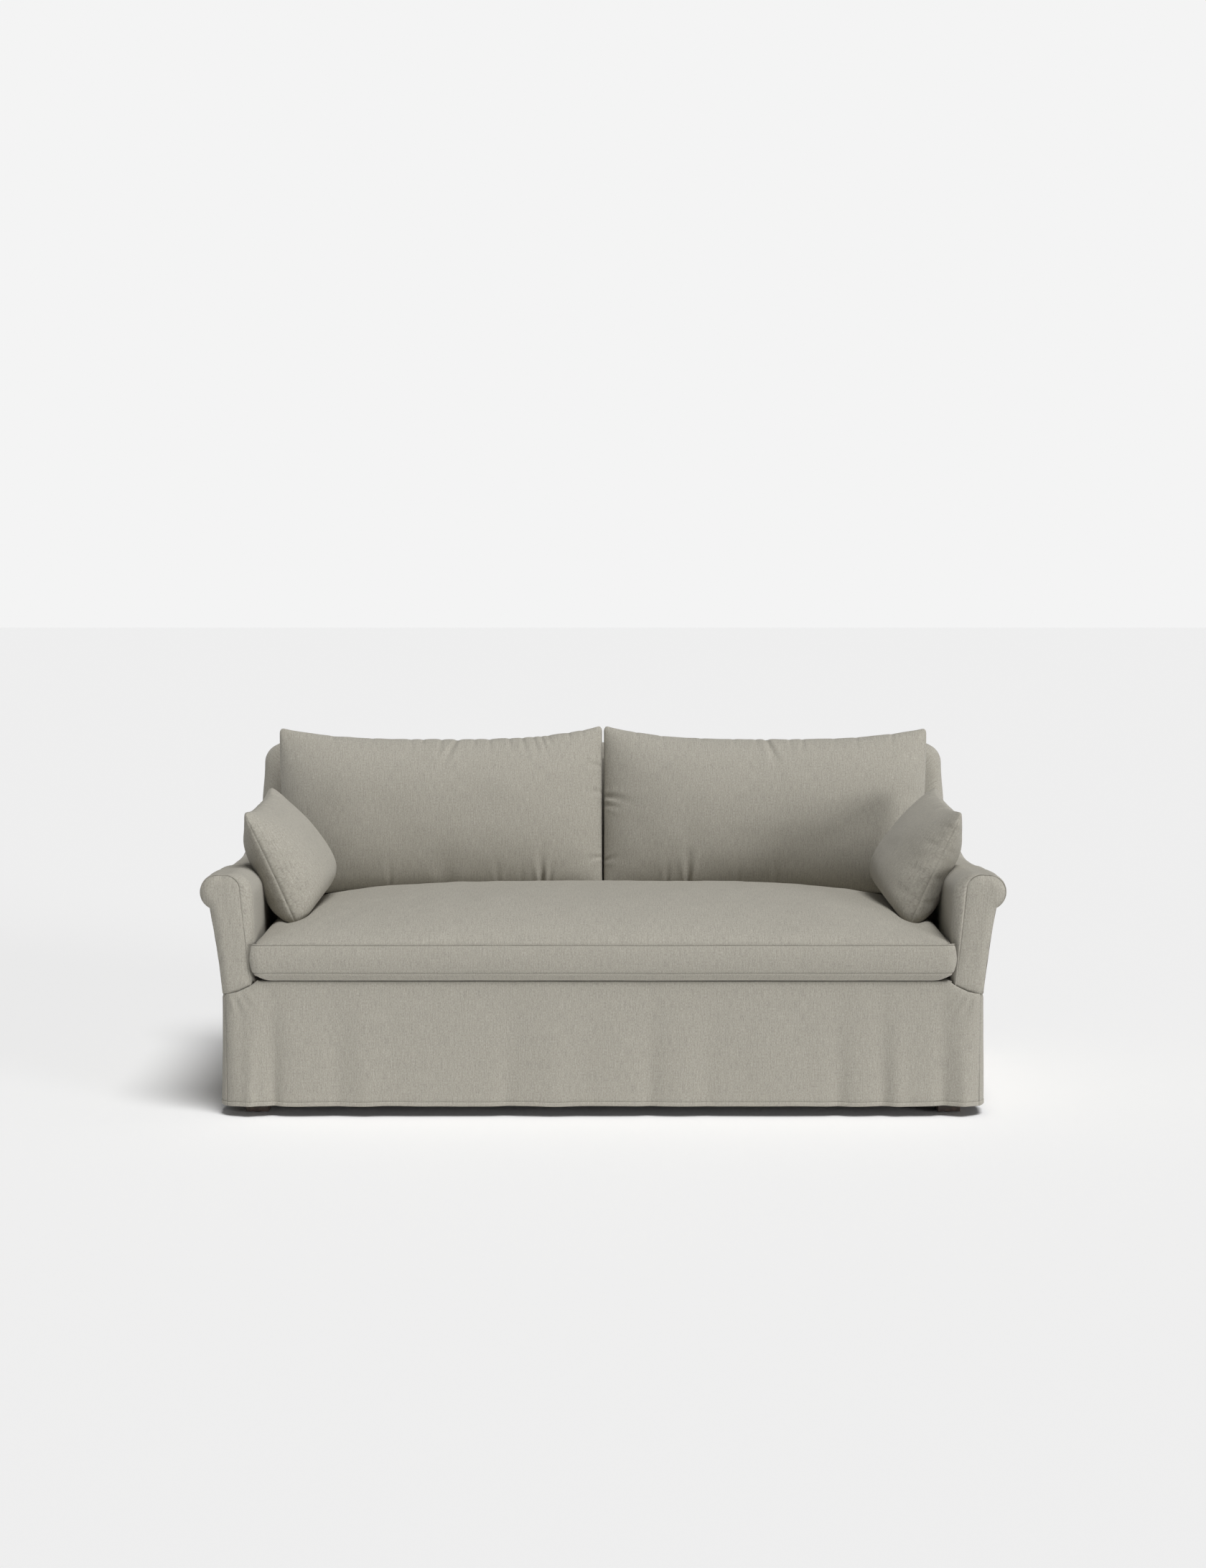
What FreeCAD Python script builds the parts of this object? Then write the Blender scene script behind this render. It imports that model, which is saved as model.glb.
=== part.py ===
import FreeCAD, Part
import math
import os
import re
from types import SimpleNamespace

import Sketcher

V = FreeCAD.Vector

# Driving sizes in millimetres. Depths run from the arm fronts to the back, heights from the floor.
SIZES = (
    ("overall_width", 2032.0, "across the two arm rolls"),
    ("overall_depth", 965.0, "seat cushion front to skirt back"),
    ("back_height", 889.0, "top of the upholstered back"),
    ("arm_height", 617.0, "top of the arm at its front"),
    ("arm_rise", 108.0, "how far the arm sweeps up to the back"),
    ("base_width", 1920.0, "across the skirt's top seam"),
    ("seat_width", 1760.0, "between the arms"),
    ("deck_height", 345.0, "top of the seat deck"),
    ("seam_height", 313.0, "skirt seam at the corners"),
    ("skirt_gap", 28.0, "floor to hem"),
    ("skirt_relief", 14.0, "hem outside the back panel"),
    ("skirt_flare", 3.0, "how far the hem hangs out"),
    ("cushion_proud", 20.0, "seat cushion in front of the arms"),
    ("cloth", 2.0, "lined cover fabric"),
    ("fit", 0.3, "clearance between soft parts"),
    ("overrun", 20.0, "how far a cutting solid runs past"),
    ("roll_radius", 45.0, "arm roll"),
    ("notch_drop", 40.0, "roll centre to the notch below it"),
    ("flare_height", 421.0, "middle of the hollow outer arm"),
    ("flare_half", 973.0, "half width at the hollow's middle"),
    ("shoulder_radius", 58.0, "inner top corner of the arm"),
    ("front_round", 25.0, "depth of the rounding behind the facing"),
    ("facing_thick", 5.0, "padded scroll facing"),
    ("facing_band", 34.0, "arm pad seen inside the facing's seam"),
    ("facing_heel", 8.0, "the same band at the seat"),
    ("facing_roll", 41.0, "roll radius of the facing"),
    ("facing_shoulder", 37.0, "inner top corner of the facing"),
    ("facing_rise", 21.0, "how far the skirt seam curves up to the seat"),
    ("seam_sag", 8.0, "bow of that seam"),
    ("board_thick", 20.0, "plywood scroll board"),
    ("board_inset", 6.0, "facing outline to the board"),
    ("board_heel", 15.0, "board in from the seat side"),
    ("frame_inset", 14.0, "base outline to the hardwood frame"),
    ("rail_thick", 28.0, "hardwood rails"),
    ("rail_height", 150.0, "seat rails"),
    ("brace_height", 80.0, "braces across the seat"),
    ("brace_pitch", 560.0, "brace to brace"),
    ("block_leg", 90.0, "corner glue block"),
    ("block_height", 100.0, "corner glue block"),
    ("foot_height", 118.0, "floor to frame"),
    ("foot_width", 75.0, "block foot at the top"),
    ("foot_toe", 58.0, "block foot at the floor"),
    ("foot_chamfer", 3.0, "foot edges"),
    ("glide_height", 4.0, "nylon glide"),
    ("glide_radius", 14.0, "nylon glide"),
    ("arm_rail_top", 590.0, "arm top rail's upper face"),
    ("arm_rail_thick", 22.0, "arm top rail"),
    ("arm_rail_width", 67.0, "arm top rail"),
    ("arm_slat_foot", 300.0, "arm lower rail's underside"),
    ("arm_slat_height", 40.0, "arm lower rail"),
    ("back_front_low", 132.0, "inside back to back panel at the deck"),
    ("back_front_top", 87.0, "the same at the top"),
    ("back_pad_thick", 45.0, "padding on the inside back"),
    ("back_width", 1926.0, "across the back above the arms"),
    ("back_corner", 55.0, "shoulder radius of the back"),
    ("back_round", 18.0, "rounding round the inside back"),
    ("back_step_gap", 2.0, "back above the arm's rear end"),
    ("post_height", 860.0, "top of the back posts"),
    ("back_rail_height", 62.0, "rails of the back frame"),
    ("strap_width", 50.0, "webbing"),
    ("strap_thick", 1.8, "webbing"),
    ("panel_thick", 4.0, "outside back with its liner"),
    ("wire_thick", 4.0, "spring wire"),
    ("spring_pitch", 44.0, "bar to bar of a spring"),
    ("spring_width", 52.0, "across a spring"),
    ("spring_spacing", 230.0, "spring to spring"),
    ("spring_crown", 26.0, "rise of a spring in its middle"),
    ("spring_seat", 2.0, "spring end above the rail"),
    ("clip_length", 22.0, "spring clip"),
    ("clip_width", 70.0, "spring clip"),
    ("tie_radius", 1.6, "tie wire"),
    ("burlap", 1.4, "cloth over the springs"),
    ("edge_roll_depth", 34.0, "roll on the front rail"),
    ("seat_seam_top", 437.0, "upper seam of the seat cushion"),
    ("seat_crown", 545.0, "highest point of the seat cushion"),
    ("seat_cushion_depth", 805.0, "front to back"),
    ("border_bulge", 11.0, "bow of the cushion's border"),
    ("seam_rise", 4.0, "rise of the cushion's top at its ends"),
    ("back_cushion_width", 897.0, "one loose cushion"),
    ("back_cushion_height", 430.0, "bottom seam to top seam"),
    ("back_cushion_thick", 212.0, "at the crown"),
    ("back_cushion_peak", 29.0, "corners above the middle"),
    ("back_cushion_draw", 8.0, "sides drawn in"),
    ("back_cushion_squeeze", 40.0, "foot of the outer side pressed in by the arm"),
    ("back_cushion_lean", 10.5, "degrees"),
    ("cushion_split", 1.5, "half the gap between the two back cushions"),
    ("pillow_width", 420.0, "throw pillow, along the arm"),
    ("pillow_height", 292.0, "throw pillow"),
    ("pillow_thick", 165.0, "throw pillow"),
    ("pillow_peak", 13.0, "corners beyond the sides"),
    ("pillow_lean", 25.0, "degrees from upright, against the arm"),
    ("pillow_turn", 5.0, "degrees it faces the middle"),
    ("pillow_pitch", 4.0, "degrees its back edge rises"),
    ("pillow_depth", 375.0, "arm front to the pillow's middle"),
    ("pillow_edge_gap", 124.0, "pillow's lower edge in from the arm"),
    ("tip_thick", 4.0, "sewn edge of a cushion"),
    ("seam_allowance", 12.0, "cushion edge to its fill"),
    ("fill_gap", 0.5, "fill to cover"),
)

# Places worked out from the sizes, in the words that the sheet's formulas use.
PLACES = (
    ("middle", "overall_width - overall_width"),
    ("half_base", "base_width / 2"),
    ("half_seat", "seat_width / 2"),
    ("half_back", "back_width / 2"),
    ("front_y", "-overall_depth / 2"),
    ("facing_y", "front_y + cushion_proud"),
    ("back_y", "overall_depth / 2"),
    ("panel_y", "back_y - skirt_relief"),
    ("cover_end_y", "panel_y - panel_thick"),
    ("frame_half", "half_base - frame_inset"),
    ("frame_inner", "frame_half - rail_thick"),
    ("board_front_y", "facing_y + facing_thick + fit"),
    ("board_back_y", "board_front_y + board_thick"),
    ("rail_back_y", "board_front_y + rail_thick"),
    ("frame_back_y", "cover_end_y - fit"),
    ("rear_rail_y", "frame_back_y - rail_thick"),
    ("rail_top", "foot_height + rail_height"),
    ("board_inner", "half_seat + board_heel"),
    ("roll_x", "overall_width / 2 - roll_radius"),
    ("roll_z", "arm_height - roll_radius"),
    ("arm_back_height", "arm_height + arm_rise"),
    ("back_step_z", "arm_back_height + back_step_gap"),
    ("deck_top", "deck_height - fit"),
    ("deck_cloth_z", "deck_top - cloth"),
    ("spring_top", "rail_top + spring_seat + spring_crown + wire_thick"),
    ("burlap_z", "spring_top + fit"),
    ("burlap_top", "burlap_z + burlap"),
    ("brace_top", "foot_height + brace_height"),
    ("arm_rail_low", "arm_rail_top - arm_rail_thick"),
    ("arm_rail_outer", "frame_inner + arm_rail_width"),
    ("slat_top", "arm_slat_foot + arm_slat_height"),
    ("foot_inset", "rail_thick + foot_width / 2"),
    ("foot_x", "frame_half - foot_inset"),
    ("foot_front_y", "board_front_y + foot_inset"),
    ("foot_rear_y", "frame_back_y - foot_inset"),
    ("dust_half", "foot_x - foot_width / 2 - fit"),
    ("dust_front_y", "foot_front_y + foot_width / 2 + fit"),
    ("dust_rear_y", "foot_rear_y - foot_width / 2 - fit"),
    ("dust_low", "foot_height - burlap"),
    ("rake_run", "back_front_low - back_front_top"),
    ("rake_rise", "back_height - deck_height"),
    ("post_low_y", "panel_y - back_front_low + back_pad_thick"),
    ("post_foot_y", "post_low_y - rake_run * (deck_height - rail_top) / rake_rise"),
    ("slat_back_y", "post_low_y - rake_run * (deck_height - arm_slat_foot) / rake_rise"),
    ("deck_back_y", "post_low_y - back_pad_thick - fit"),
    ("deck_front_y", "board_front_y + edge_roll_depth + fit"),
)

doc = FreeCAD.newDocument("RolledArmSofa")


def write_sheets():
    """The driving sizes in one sheet, and the places that follow from them in another."""
    sizes = doc.addObject("Spreadsheet::Sheet", "Sizes")
    for row, (name, value, note) in enumerate(SIZES, start=1):
        sizes.set("A%d" % row, name)
        sizes.set("B%d" % row, repr(value))
        sizes.set("C%d" % row, note)
        sizes.setAlias("B%d" % row, name)
    doc.recompute()
    places = doc.addObject("Spreadsheet::Sheet", "Places")
    for row, (name, formula) in enumerate(PLACES, start=1):
        places.set("A%d" % row, name)
        places.set("B%d" % row, "=" + spell(formula, own=True))
        places.setAlias("B%d" % row, name)
    doc.recompute()
    values = {name: float(sizes.get(name)) for name, _, _ in SIZES}
    values.update({name: float(places.get(name)) for name, _ in PLACES})
    return SimpleNamespace(**values)


def spell(formula, own=False):
    """Puts the sheet's name before each size, as an expression needs it."""
    driving = {name for name, _, _ in SIZES}

    def full(match):
        word = match.group(0)
        if word in driving:
            return "Sizes." + word
        return word if own else "Places." + word

    return re.sub(r"[a-z_]{2,}", full, formula)


mm = write_sheets()
parts = {}


def keep(node, thing):
    """Files an object of the document under its node's name."""
    thing.Label = node
    parts[node] = thing
    return thing


def feature(node, shape):
    """A piece whose shape is worked out here from the sheet's sizes."""
    thing = doc.addObject("Part::Feature", node)
    thing.Shape = shape
    return keep(node, thing)


def box(node, x_span, y_span, z_span):
    """A board with square edges. Each span is a pair of formulas of the sheet's sizes."""
    thing = doc.addObject("Part::Box", node)
    for side, low, high in zip(("Length", "Width", "Height"), *zip(x_span, y_span, z_span)):
        thing.setExpression(side, spell("(%s) - (%s)" % (high, low)))
    for axis, (low, _) in zip("xyz", (x_span, y_span, z_span)):
        thing.setExpression("Placement.Base." + axis, spell(low))
    return keep(node, thing)


SIDES = (("left", -1), ("right", 1))


def mirrored(shape, side):
    """The piece made for the right side, or its mirror for the left."""
    return shape if side > 0 else shape.mirror(V(0, 0, 0), V(1, 0, 0))


def side_span(side, low, high):
    """An X span given for the right side, turned over for the left."""
    return (low, high) if side > 0 else ("-(%s)" % high, "-(%s)" % low)


def plane_of(body, role):
    return next(f for f in body.Origin.OriginFeatures if f.Role == role)


def sketch_profile(body, name, role, corners):
    """A closed sketch of straight lines whose corners are pairs of formulas, each bound to the sheet."""
    sketch = body.newObject("Sketcher::SketchObject", name)
    sketch.AttachmentSupport = (plane_of(body, role), [""])
    sketch.MapMode = "FlatFace"
    places = [tuple(known(word) for word in corner) for corner in corners]
    count = len(corners)
    for i in range(count):
        start, end = places[i], places[(i + 1) % count]
        sketch.addGeometry(Part.LineSegment(V(*start, 0), V(*end, 0)), False)
    for i in range(count):
        sketch.addConstraint(Sketcher.Constraint("Coincident", i, 2, (i + 1) % count, 1))
    for i, corner in enumerate(corners):
        for kind, word, value in zip(("DistanceX", "DistanceY"), corner, places[i]):
            at = sketch.addConstraint(Sketcher.Constraint(kind, i, 1, value))
            sketch.setExpression("Constraints[%d]" % at, spell(word))
    return sketch


def known(word):
    """The value of a size's name, with a minus before it where it is on the other side."""
    value = getattr(mm, word.lstrip("-"))
    return -value if word.startswith("-") else value


def padded_body(node, role, corners, length, reverse=False):
    """A board cut to a profile: a sketch and a pad."""
    body = doc.addObject("PartDesign::Body", node)
    sketch = sketch_profile(body, node + "_profile", role, corners)
    pad = body.newObject("PartDesign::Pad", node + "_pad")
    pad.Profile = sketch
    pad.Reversed = reverse
    pad.setExpression("Length", spell(length))
    return keep(node, body)


# How far out of plane a facet's corner may be, and how near two points are one.
FLATNESS = 1e-7
SAME_PLACE = 1e-3


def curved(path):
    """An outline with true arcs. A path is its first point, then a step to each next point:
    (end,) is straight, and (middle, end, facets) is an arc through a middle point."""
    edges, here = [], path[0]
    for step in path[1:]:
        if len(step) == 1:
            edges.append(Part.makeLine(here, step[0]))
        else:
            edges.append(Part.Arc(here, step[0], step[1]).toShape())
        here = step[1] if len(step) == 3 else step[0]
    if here.distanceToPoint(path[0]) > SAME_PLACE:
        edges.append(Part.makeLine(here, path[0]))
    return Part.Wire(edges)


def faceted(path):
    """The points of the same outline with each arc as a few flats."""
    points = [path[0]]
    for step in path[1:]:
        if len(step) == 1:
            points.append(step[0])
        else:
            bend = Part.Arc(points[-1], step[0], step[1]).toShape()
            points.extend(bend.discretize(step[2] + 1)[1:])
    if points[-1].distanceToPoint(points[0]) < SAME_PLACE:
        points.pop()
    return points


def flat(points):
    """A flat face through corners, or none where they fall on one line."""
    corners = [p for i, p in enumerate(points) if p.distanceToPoint(points[i - 1]) > SAME_PLACE]
    return [Part.Face(Part.makePolygon(corners + corners[:1]))] if len(corners) > 2 else []


def patch(a, b, c, d):
    """Four corners in order, as one flat face or as two along the shorter diagonal."""
    across = (b - a).cross(c - a)
    if abs(across.dot(d - a)) < FLATNESS * across.Length:
        return flat([a, b, c, d])
    if a.distanceToPoint(c) < b.distanceToPoint(d):
        return flat([a, b, c]) + flat([a, c, d])
    return flat([a, b, d]) + flat([b, c, d])


def end_cap(ring):
    """A flat end as one face, or a narrow bent one as a ladder between its two long sides."""
    normal = (ring[1] - ring[0]).cross(ring[len(ring) // 2] - ring[0])
    if all(abs(normal.dot(p - ring[0])) < FLATNESS * normal.Length for p in ring):
        return flat(ring)
    steps = []
    for i in range(len(ring) // 2 - 1):
        steps += patch(ring[i], ring[i + 1], ring[-2 - i], ring[-1 - i])
    return steps


def skin(rings):
    """A loft with flat faces: between unlike outlines, curved ones would need far more facets."""
    faces = end_cap(rings[0]) + end_cap(rings[-1])
    for low, high in zip(rings, rings[1:]):
        for i in range(len(low)):
            faces += patch(low[i - 1], low[i], high[i], high[i - 1])
    return Part.makeSolid(Part.makeShell(faces))


def loft(paths):
    return skin([faceted(path) for path in paths])


def slab(outline, along):
    """A flat outline made solid."""
    return Part.Face(outline).extrude(along)


def on_circle(centre, radius, degrees, y):
    turn = math.radians(degrees)
    return V(centre[0] + radius * math.cos(turn), y, centre[1] + radius * math.sin(turn))


def corner_middle(wall, top):
    """The middle of a rounded corner, from a wall going up to a top going across."""
    bow_share = 1 - math.sqrt(0.5)
    return V(
        wall.x + (top.x - wall.x) * bow_share,
        wall.y + (top.y - wall.y) * (1 - bow_share),
        top.z + (wall.z - top.z) * bow_share,
    )


# The arm: one scroll outline, drawn at each station from the front to the back.
ARM_DEPTH_SHARES = (0.0, 0.62, 0.7, 0.78, 0.86, 0.93, 1.0)
ARM_RISE_SHARES = (0.0, 0.0, 0.06, 0.27, 0.68, 0.95, 1.0)
ROLL_START_FRONT = 90.0
ROLL_START_BACK = 24.0
SHOULDER_FACETS = 3
ROLL_FACETS = 6
HOLLOW_FACETS = 3


def notch_angle():
    """Where the roll meets the hollow below it, from the horizontal."""
    return -math.degrees(math.asin(mm.notch_drop / mm.roll_radius))


def arm_outline(y, rise_share, inset, foot_z):
    """The right arm's section: inner wall, shoulder, top, roll, notch and hollow outer wall."""
    top = mm.arm_height + mm.arm_rise * rise_share - inset
    inner = mm.half_seat + inset
    shoulder = mm.shoulder_radius + (mm.half_back - mm.half_seat - mm.shoulder_radius) * rise_share
    radius = mm.roll_radius - inset
    centre = (mm.roll_x, mm.roll_z)
    start = ROLL_START_FRONT + (ROLL_START_BACK - ROLL_START_FRONT) * math.sqrt(rise_share)
    stop = notch_angle()
    wall_top = V(inner, y, top - mm.shoulder_radius)
    shoulder_end = V(mm.half_seat + shoulder, y, top)
    return [
        V(inner, y, foot_z),
        (wall_top,),
        (corner_middle(wall_top, shoulder_end), shoulder_end, SHOULDER_FACETS),
        (on_circle(centre, radius, start, y),),
        (
            on_circle(centre, radius, (start + stop) / 2, y),
            on_circle(centre, radius, stop, y),
            ROLL_FACETS,
        ),
        (V(mm.flare_half - inset, y, mm.flare_height), V(mm.half_base - inset, y, foot_z), HOLLOW_FACETS),
    ]


def facing_points(y, inset):
    """The scroll outline of the facing: the points that its curves run through."""
    radius = mm.facing_roll - inset
    top = mm.arm_height - (mm.roll_radius - mm.facing_roll) - inset
    inner = mm.half_seat + mm.facing_band + inset
    shoulder = mm.facing_shoulder
    centre = (mm.roll_x, mm.arm_height - mm.roll_radius)
    stop = notch_angle()
    return SimpleNamespace(
        heel=V(mm.half_seat + mm.facing_heel + inset, y, mm.seam_height),
        wall_top=V(inner, y, top - shoulder),
        shoulder_end=V(inner + shoulder, y, top),
        roll_start=V(mm.roll_x, y, top),
        roll_middle=on_circle(centre, radius, (ROLL_START_FRONT + stop) / 2, y),
        roll_end=on_circle(centre, radius, stop, y),
        hollow=V(mm.flare_half - inset, y, mm.flare_height),
        toe=V(mm.half_base - inset, y, mm.seam_height),
    )


def facing_top(at):
    """The steps over the scroll, from the inner wall to the notch."""
    return [
        (at.wall_top,),
        (corner_middle(at.wall_top, at.shoulder_end), at.shoulder_end, SHOULDER_FACETS),
        (at.roll_start,),
        (at.roll_middle, at.roll_end, ROLL_FACETS),
    ]


def facing_outline(y, inset):
    at = facing_points(y, inset)
    return [at.heel] + facing_top(at) + [(at.hollow, at.toe, HOLLOW_FACETS)]


def seam_cutter(y_low, y_high, above):
    """What lies above, or below, the curved seam between skirt and arm front."""
    reach = mm.half_base + mm.overrun
    toe = V(mm.half_base, y_low, mm.seam_height)
    heel_z = mm.seam_height + mm.facing_rise
    heel = V(mm.half_seat + mm.facing_heel, y_low, heel_z)
    bow = V(
        (toe.x + heel.x) / 2,
        y_low,
        (toe.z + heel.z) / 2 - mm.seam_sag / 2,
    )
    seat = V(mm.half_seat - mm.overrun, y_low, mm.deck_height)
    far_z = mm.back_height if above else 0.0
    outline = curved([
        toe,
        (bow, heel, HOLLOW_FACETS),
        (seat,),
        (V(seat.x, y_low, far_z),),
        (V(reach, y_low, far_z),),
        (V(reach, y_low, toe.z),),
    ])
    return slab(outline, V(0, y_high - y_low, 0))


def arm_stations(start_y, end_y):
    span = end_y - start_y
    return [(start_y + span * share, rise) for share, rise in zip(ARM_DEPTH_SHARES, ARM_RISE_SHARES)]


def arm_solid(inset, start_y, end_y, foot_z):
    return loft([arm_outline(y, rise, inset, foot_z) for y, rise in arm_stations(start_y, end_y)])


def front_round_solid(inset, front_y, behind_y):
    """The rounding from the facing's outline out to the full arm."""
    low = facing_outline(front_y, inset)
    high = arm_outline(behind_y, 0.0, inset, mm.seam_height)
    return loft([low, high])


def raked_y(z, into=0.0):
    """Depth of the inside back's plane at a height, moved into the back."""
    share = (z - mm.deck_height) / mm.rake_rise
    return mm.panel_y - mm.back_front_low + mm.rake_run * share + into


def behind_rake(x_low, x_high, z_low, z_high, into):
    """All that lies behind the raked plane, between two planes across the sofa."""
    far = mm.back_y + mm.overrun
    corners = [
        V(x_low, raked_y(z_low, into), z_low),
        V(x_low, raked_y(z_high, into), z_high),
        V(x_low, far, z_high),
        V(x_low, far, z_low),
    ]
    outline = Part.makePolygon(corners + corners[:1])
    return slab(outline, V(x_high - x_low, 0, 0))


def post_clearance():
    """The room that the back posts and rails take out of an arm's rear end."""
    return behind_rake(
        mm.half_seat - mm.overrun,
        mm.frame_half + mm.fit,
        mm.foot_height,
        mm.back_height,
        mm.back_pad_thick - mm.fit,
    )


def make_arm(suffix, side):
    round_end = mm.facing_y + mm.facing_thick + mm.front_round
    cover_start = mm.facing_y + mm.facing_thick
    outer = front_round_solid(0.0, cover_start, round_end).fuse(
        arm_solid(0.0, round_end, mm.cover_end_y, mm.seam_height)
    )
    hollow = front_round_solid(mm.cloth, cover_start, round_end).fuse(
        arm_solid(mm.cloth, round_end, mm.cover_end_y, mm.seam_height)
    )
    cover = outer.cut(hollow).cut(post_clearance())
    feature("arm_cover_" + suffix, mirrored(cover, side))

    gap = mm.cloth + mm.fit
    filling = arm_solid(gap, round_end, mm.cover_end_y - mm.fit, mm.seam_height)
    slot_length = mm.back_y - round_end
    upright = Part.makeBox(
        mm.rail_thick + 2 * mm.fit,
        slot_length,
        mm.arm_rail_top + mm.fit - mm.foot_height,
        V(mm.frame_inner - mm.fit, round_end, mm.foot_height),
    )
    rail_room = Part.makeBox(
        mm.arm_rail_width + 2 * mm.fit,
        slot_length,
        mm.arm_rail_thick + 2 * mm.fit,
        V(mm.frame_inner - mm.fit, round_end, mm.arm_rail_low - mm.fit),
    )
    pad = filling.cut(upright).cut(rail_room).cut(post_clearance())
    feature("arm_pad_" + suffix, mirrored(pad, side))

    facing = slab(curved(facing_outline(mm.facing_y, 0.0)), V(0, mm.facing_thick, 0))
    below = seam_cutter(mm.facing_y - mm.overrun, mm.board_back_y, above=False)
    feature("arm_facing_" + suffix, mirrored(facing.cut(below), side))


def make_arm_board(suffix, side):
    """The plywood board that gives the arm its scroll, cut out below for the front rail."""
    at = facing_points(mm.board_front_y, mm.board_inset)
    y = mm.board_front_y
    outline = curved(
        [V(mm.board_inner, y, mm.foot_height), (V(mm.board_inner, y, mm.deck_height),)]
        + facing_top(at)
        + [(V(mm.frame_half, y, mm.seam_height),), (V(mm.frame_half, y, mm.foot_height),)]
    )
    board = slab(outline, V(0, mm.board_thick, 0))
    feature("arm_front_board_" + suffix, mirrored(board, side))


def make_arm_rails(suffix, side):
    box(
        "arm_lower_rail_" + suffix,
        side_span(side, "frame_inner", "frame_half"),
        ("board_back_y", "slat_back_y"),
        ("arm_slat_foot", "slat_top"),
    )
    rail = Part.makeBox(
        mm.arm_rail_width,
        mm.back_y - mm.board_back_y,
        mm.arm_rail_thick,
        V(mm.frame_inner, mm.board_back_y, mm.arm_rail_low),
    )
    rail = rail.cut(
        behind_rake(
            mm.frame_inner - mm.overrun,
            mm.overall_width / 2,
            mm.foot_height,
            mm.back_height,
            mm.back_pad_thick,
        )
    )
    feature("arm_top_rail_" + suffix, mirrored(rail, side))


def make_seat_frame():
    depth = ("board_front_y", "rail_back_y")
    height = ("foot_height", "rail_top")
    box("front_seat_rail", ("-board_inner", "board_inner"), depth, height)
    box("rear_seat_rail", ("-frame_half", "frame_half"), ("rear_rail_y", "frame_back_y"), height)
    for name, side in (("side_seat_rail_left", -1), ("side_seat_rail_right", 1)):
        box(name, side_span(side, "frame_inner", "frame_half"), ("board_back_y", "post_foot_y"), height)
    for name, step in (("seat_brace_left", -1), ("seat_brace_centre", 0), ("seat_brace_right", 1)):
        middle = "%d * brace_pitch" % step
        box(
            name,
            (middle + " - rail_thick / 2", middle + " + rail_thick / 2"),
            ("rail_back_y", "rear_rail_y"),
            ("foot_height", "brace_top"),
        )


def make_corner_blocks():
    """Four triangular glue blocks, one in each corner of the seat frame."""
    leg = mm.block_leg
    up = V(0, 0, mm.block_height)
    blocks = []
    for side in (-1, 1):
        for corner_y, turn in ((mm.rail_back_y, 1), (mm.rear_rail_y, -1)):
            corner = V(side * mm.frame_inner, corner_y, mm.foot_height)
            ends = [corner, corner - V(side * leg, 0, 0), corner + V(0, turn * leg, 0)]
            blocks.append(slab(Part.makePolygon(ends + ends[:1]), up))
    feature("corner_blocks", Part.makeCompound(blocks))


def make_back_post(suffix, side):
    """A board that stands plumb beside the side rail and rakes back above it, notched for the rear rail."""
    inner = mm.frame_inner
    profile = curved([
        V(inner, mm.post_foot_y, mm.foot_height),
        (V(inner, mm.post_foot_y, mm.rail_top),),
        (V(inner, raked_y(mm.post_height, mm.back_pad_thick), mm.post_height),),
        (V(inner, mm.frame_back_y, mm.post_height),),
        (V(inner, mm.frame_back_y, mm.rail_top),),
        (V(inner, mm.rear_rail_y, mm.rail_top),),
        (V(inner, mm.rear_rail_y, mm.foot_height),),
    ])
    post = slab(profile, V(mm.rail_thick, 0, 0))
    feature("back_post_" + suffix, mirrored(post, side))


def rake_degrees():
    return math.degrees(math.atan2(mm.rake_run, mm.rake_rise))


def rake_slope():
    """The way up the inside back."""
    lean = math.radians(rake_degrees())
    return V(0, math.sin(lean), math.cos(lean))


def raked_box(x_low, x_high, along_low, along_high, into_low, into_high):
    """A board lying in the raked plane."""
    board = Part.makeBox(
        x_high - x_low,
        into_high - into_low,
        along_high - along_low,
        V(x_low, into_low, along_low),
    )
    start = V(0, raked_y(mm.deck_height, mm.back_pad_thick), mm.deck_height)
    board.Placement = FreeCAD.Placement(start, FreeCAD.Rotation(V(1, 0, 0), -rake_degrees()))
    return board


UPRIGHT_STRAPS = 8
CROSS_STRAPS = 3


def make_back_frame():
    slope_length = (mm.post_height - mm.deck_height) / math.cos(math.radians(rake_degrees()))
    post_inner = mm.frame_inner
    low = mm.strap_width / 2
    low_top = low + mm.back_rail_height
    high = slope_length - mm.back_rail_height
    gap = mm.strap_thick * 2
    low_rail = raked_box(-post_inner, post_inner, low, low_top, gap, gap + mm.rail_thick)
    top_rail = raked_box(-post_inner, post_inner, high, slope_length, gap, gap + mm.rail_thick)
    half = mm.rail_thick / 2
    centre = raked_box(-half, half, low_top, high, gap, gap + mm.rail_thick)
    feature("back_lower_rail", low_rail)
    feature("back_top_rail", top_rail)
    feature("back_centre_post", centre)

    straps = []
    pitch = 2 * post_inner / UPRIGHT_STRAPS
    for i in range(UPRIGHT_STRAPS):
        middle = -post_inner + pitch * (i + 0.5)
        straps.append(
            raked_box(
                middle - mm.strap_width / 2,
                middle + mm.strap_width / 2,
                low,
                slope_length,
                mm.strap_thick,
                gap,
            )
        )
    cross_pitch = (high - low_top) / CROSS_STRAPS
    for i in range(CROSS_STRAPS):
        middle = low_top + cross_pitch * (i + 0.5)
        straps.append(
            raked_box(
                -post_inner,
                post_inner,
                middle - mm.strap_width / 2,
                middle + mm.strap_width / 2,
                0.0,
                mm.strap_thick,
            )
        )
    feature("back_webbing", Part.makeCompound(straps))


BACK_CORNER_FACETS = 4


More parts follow.
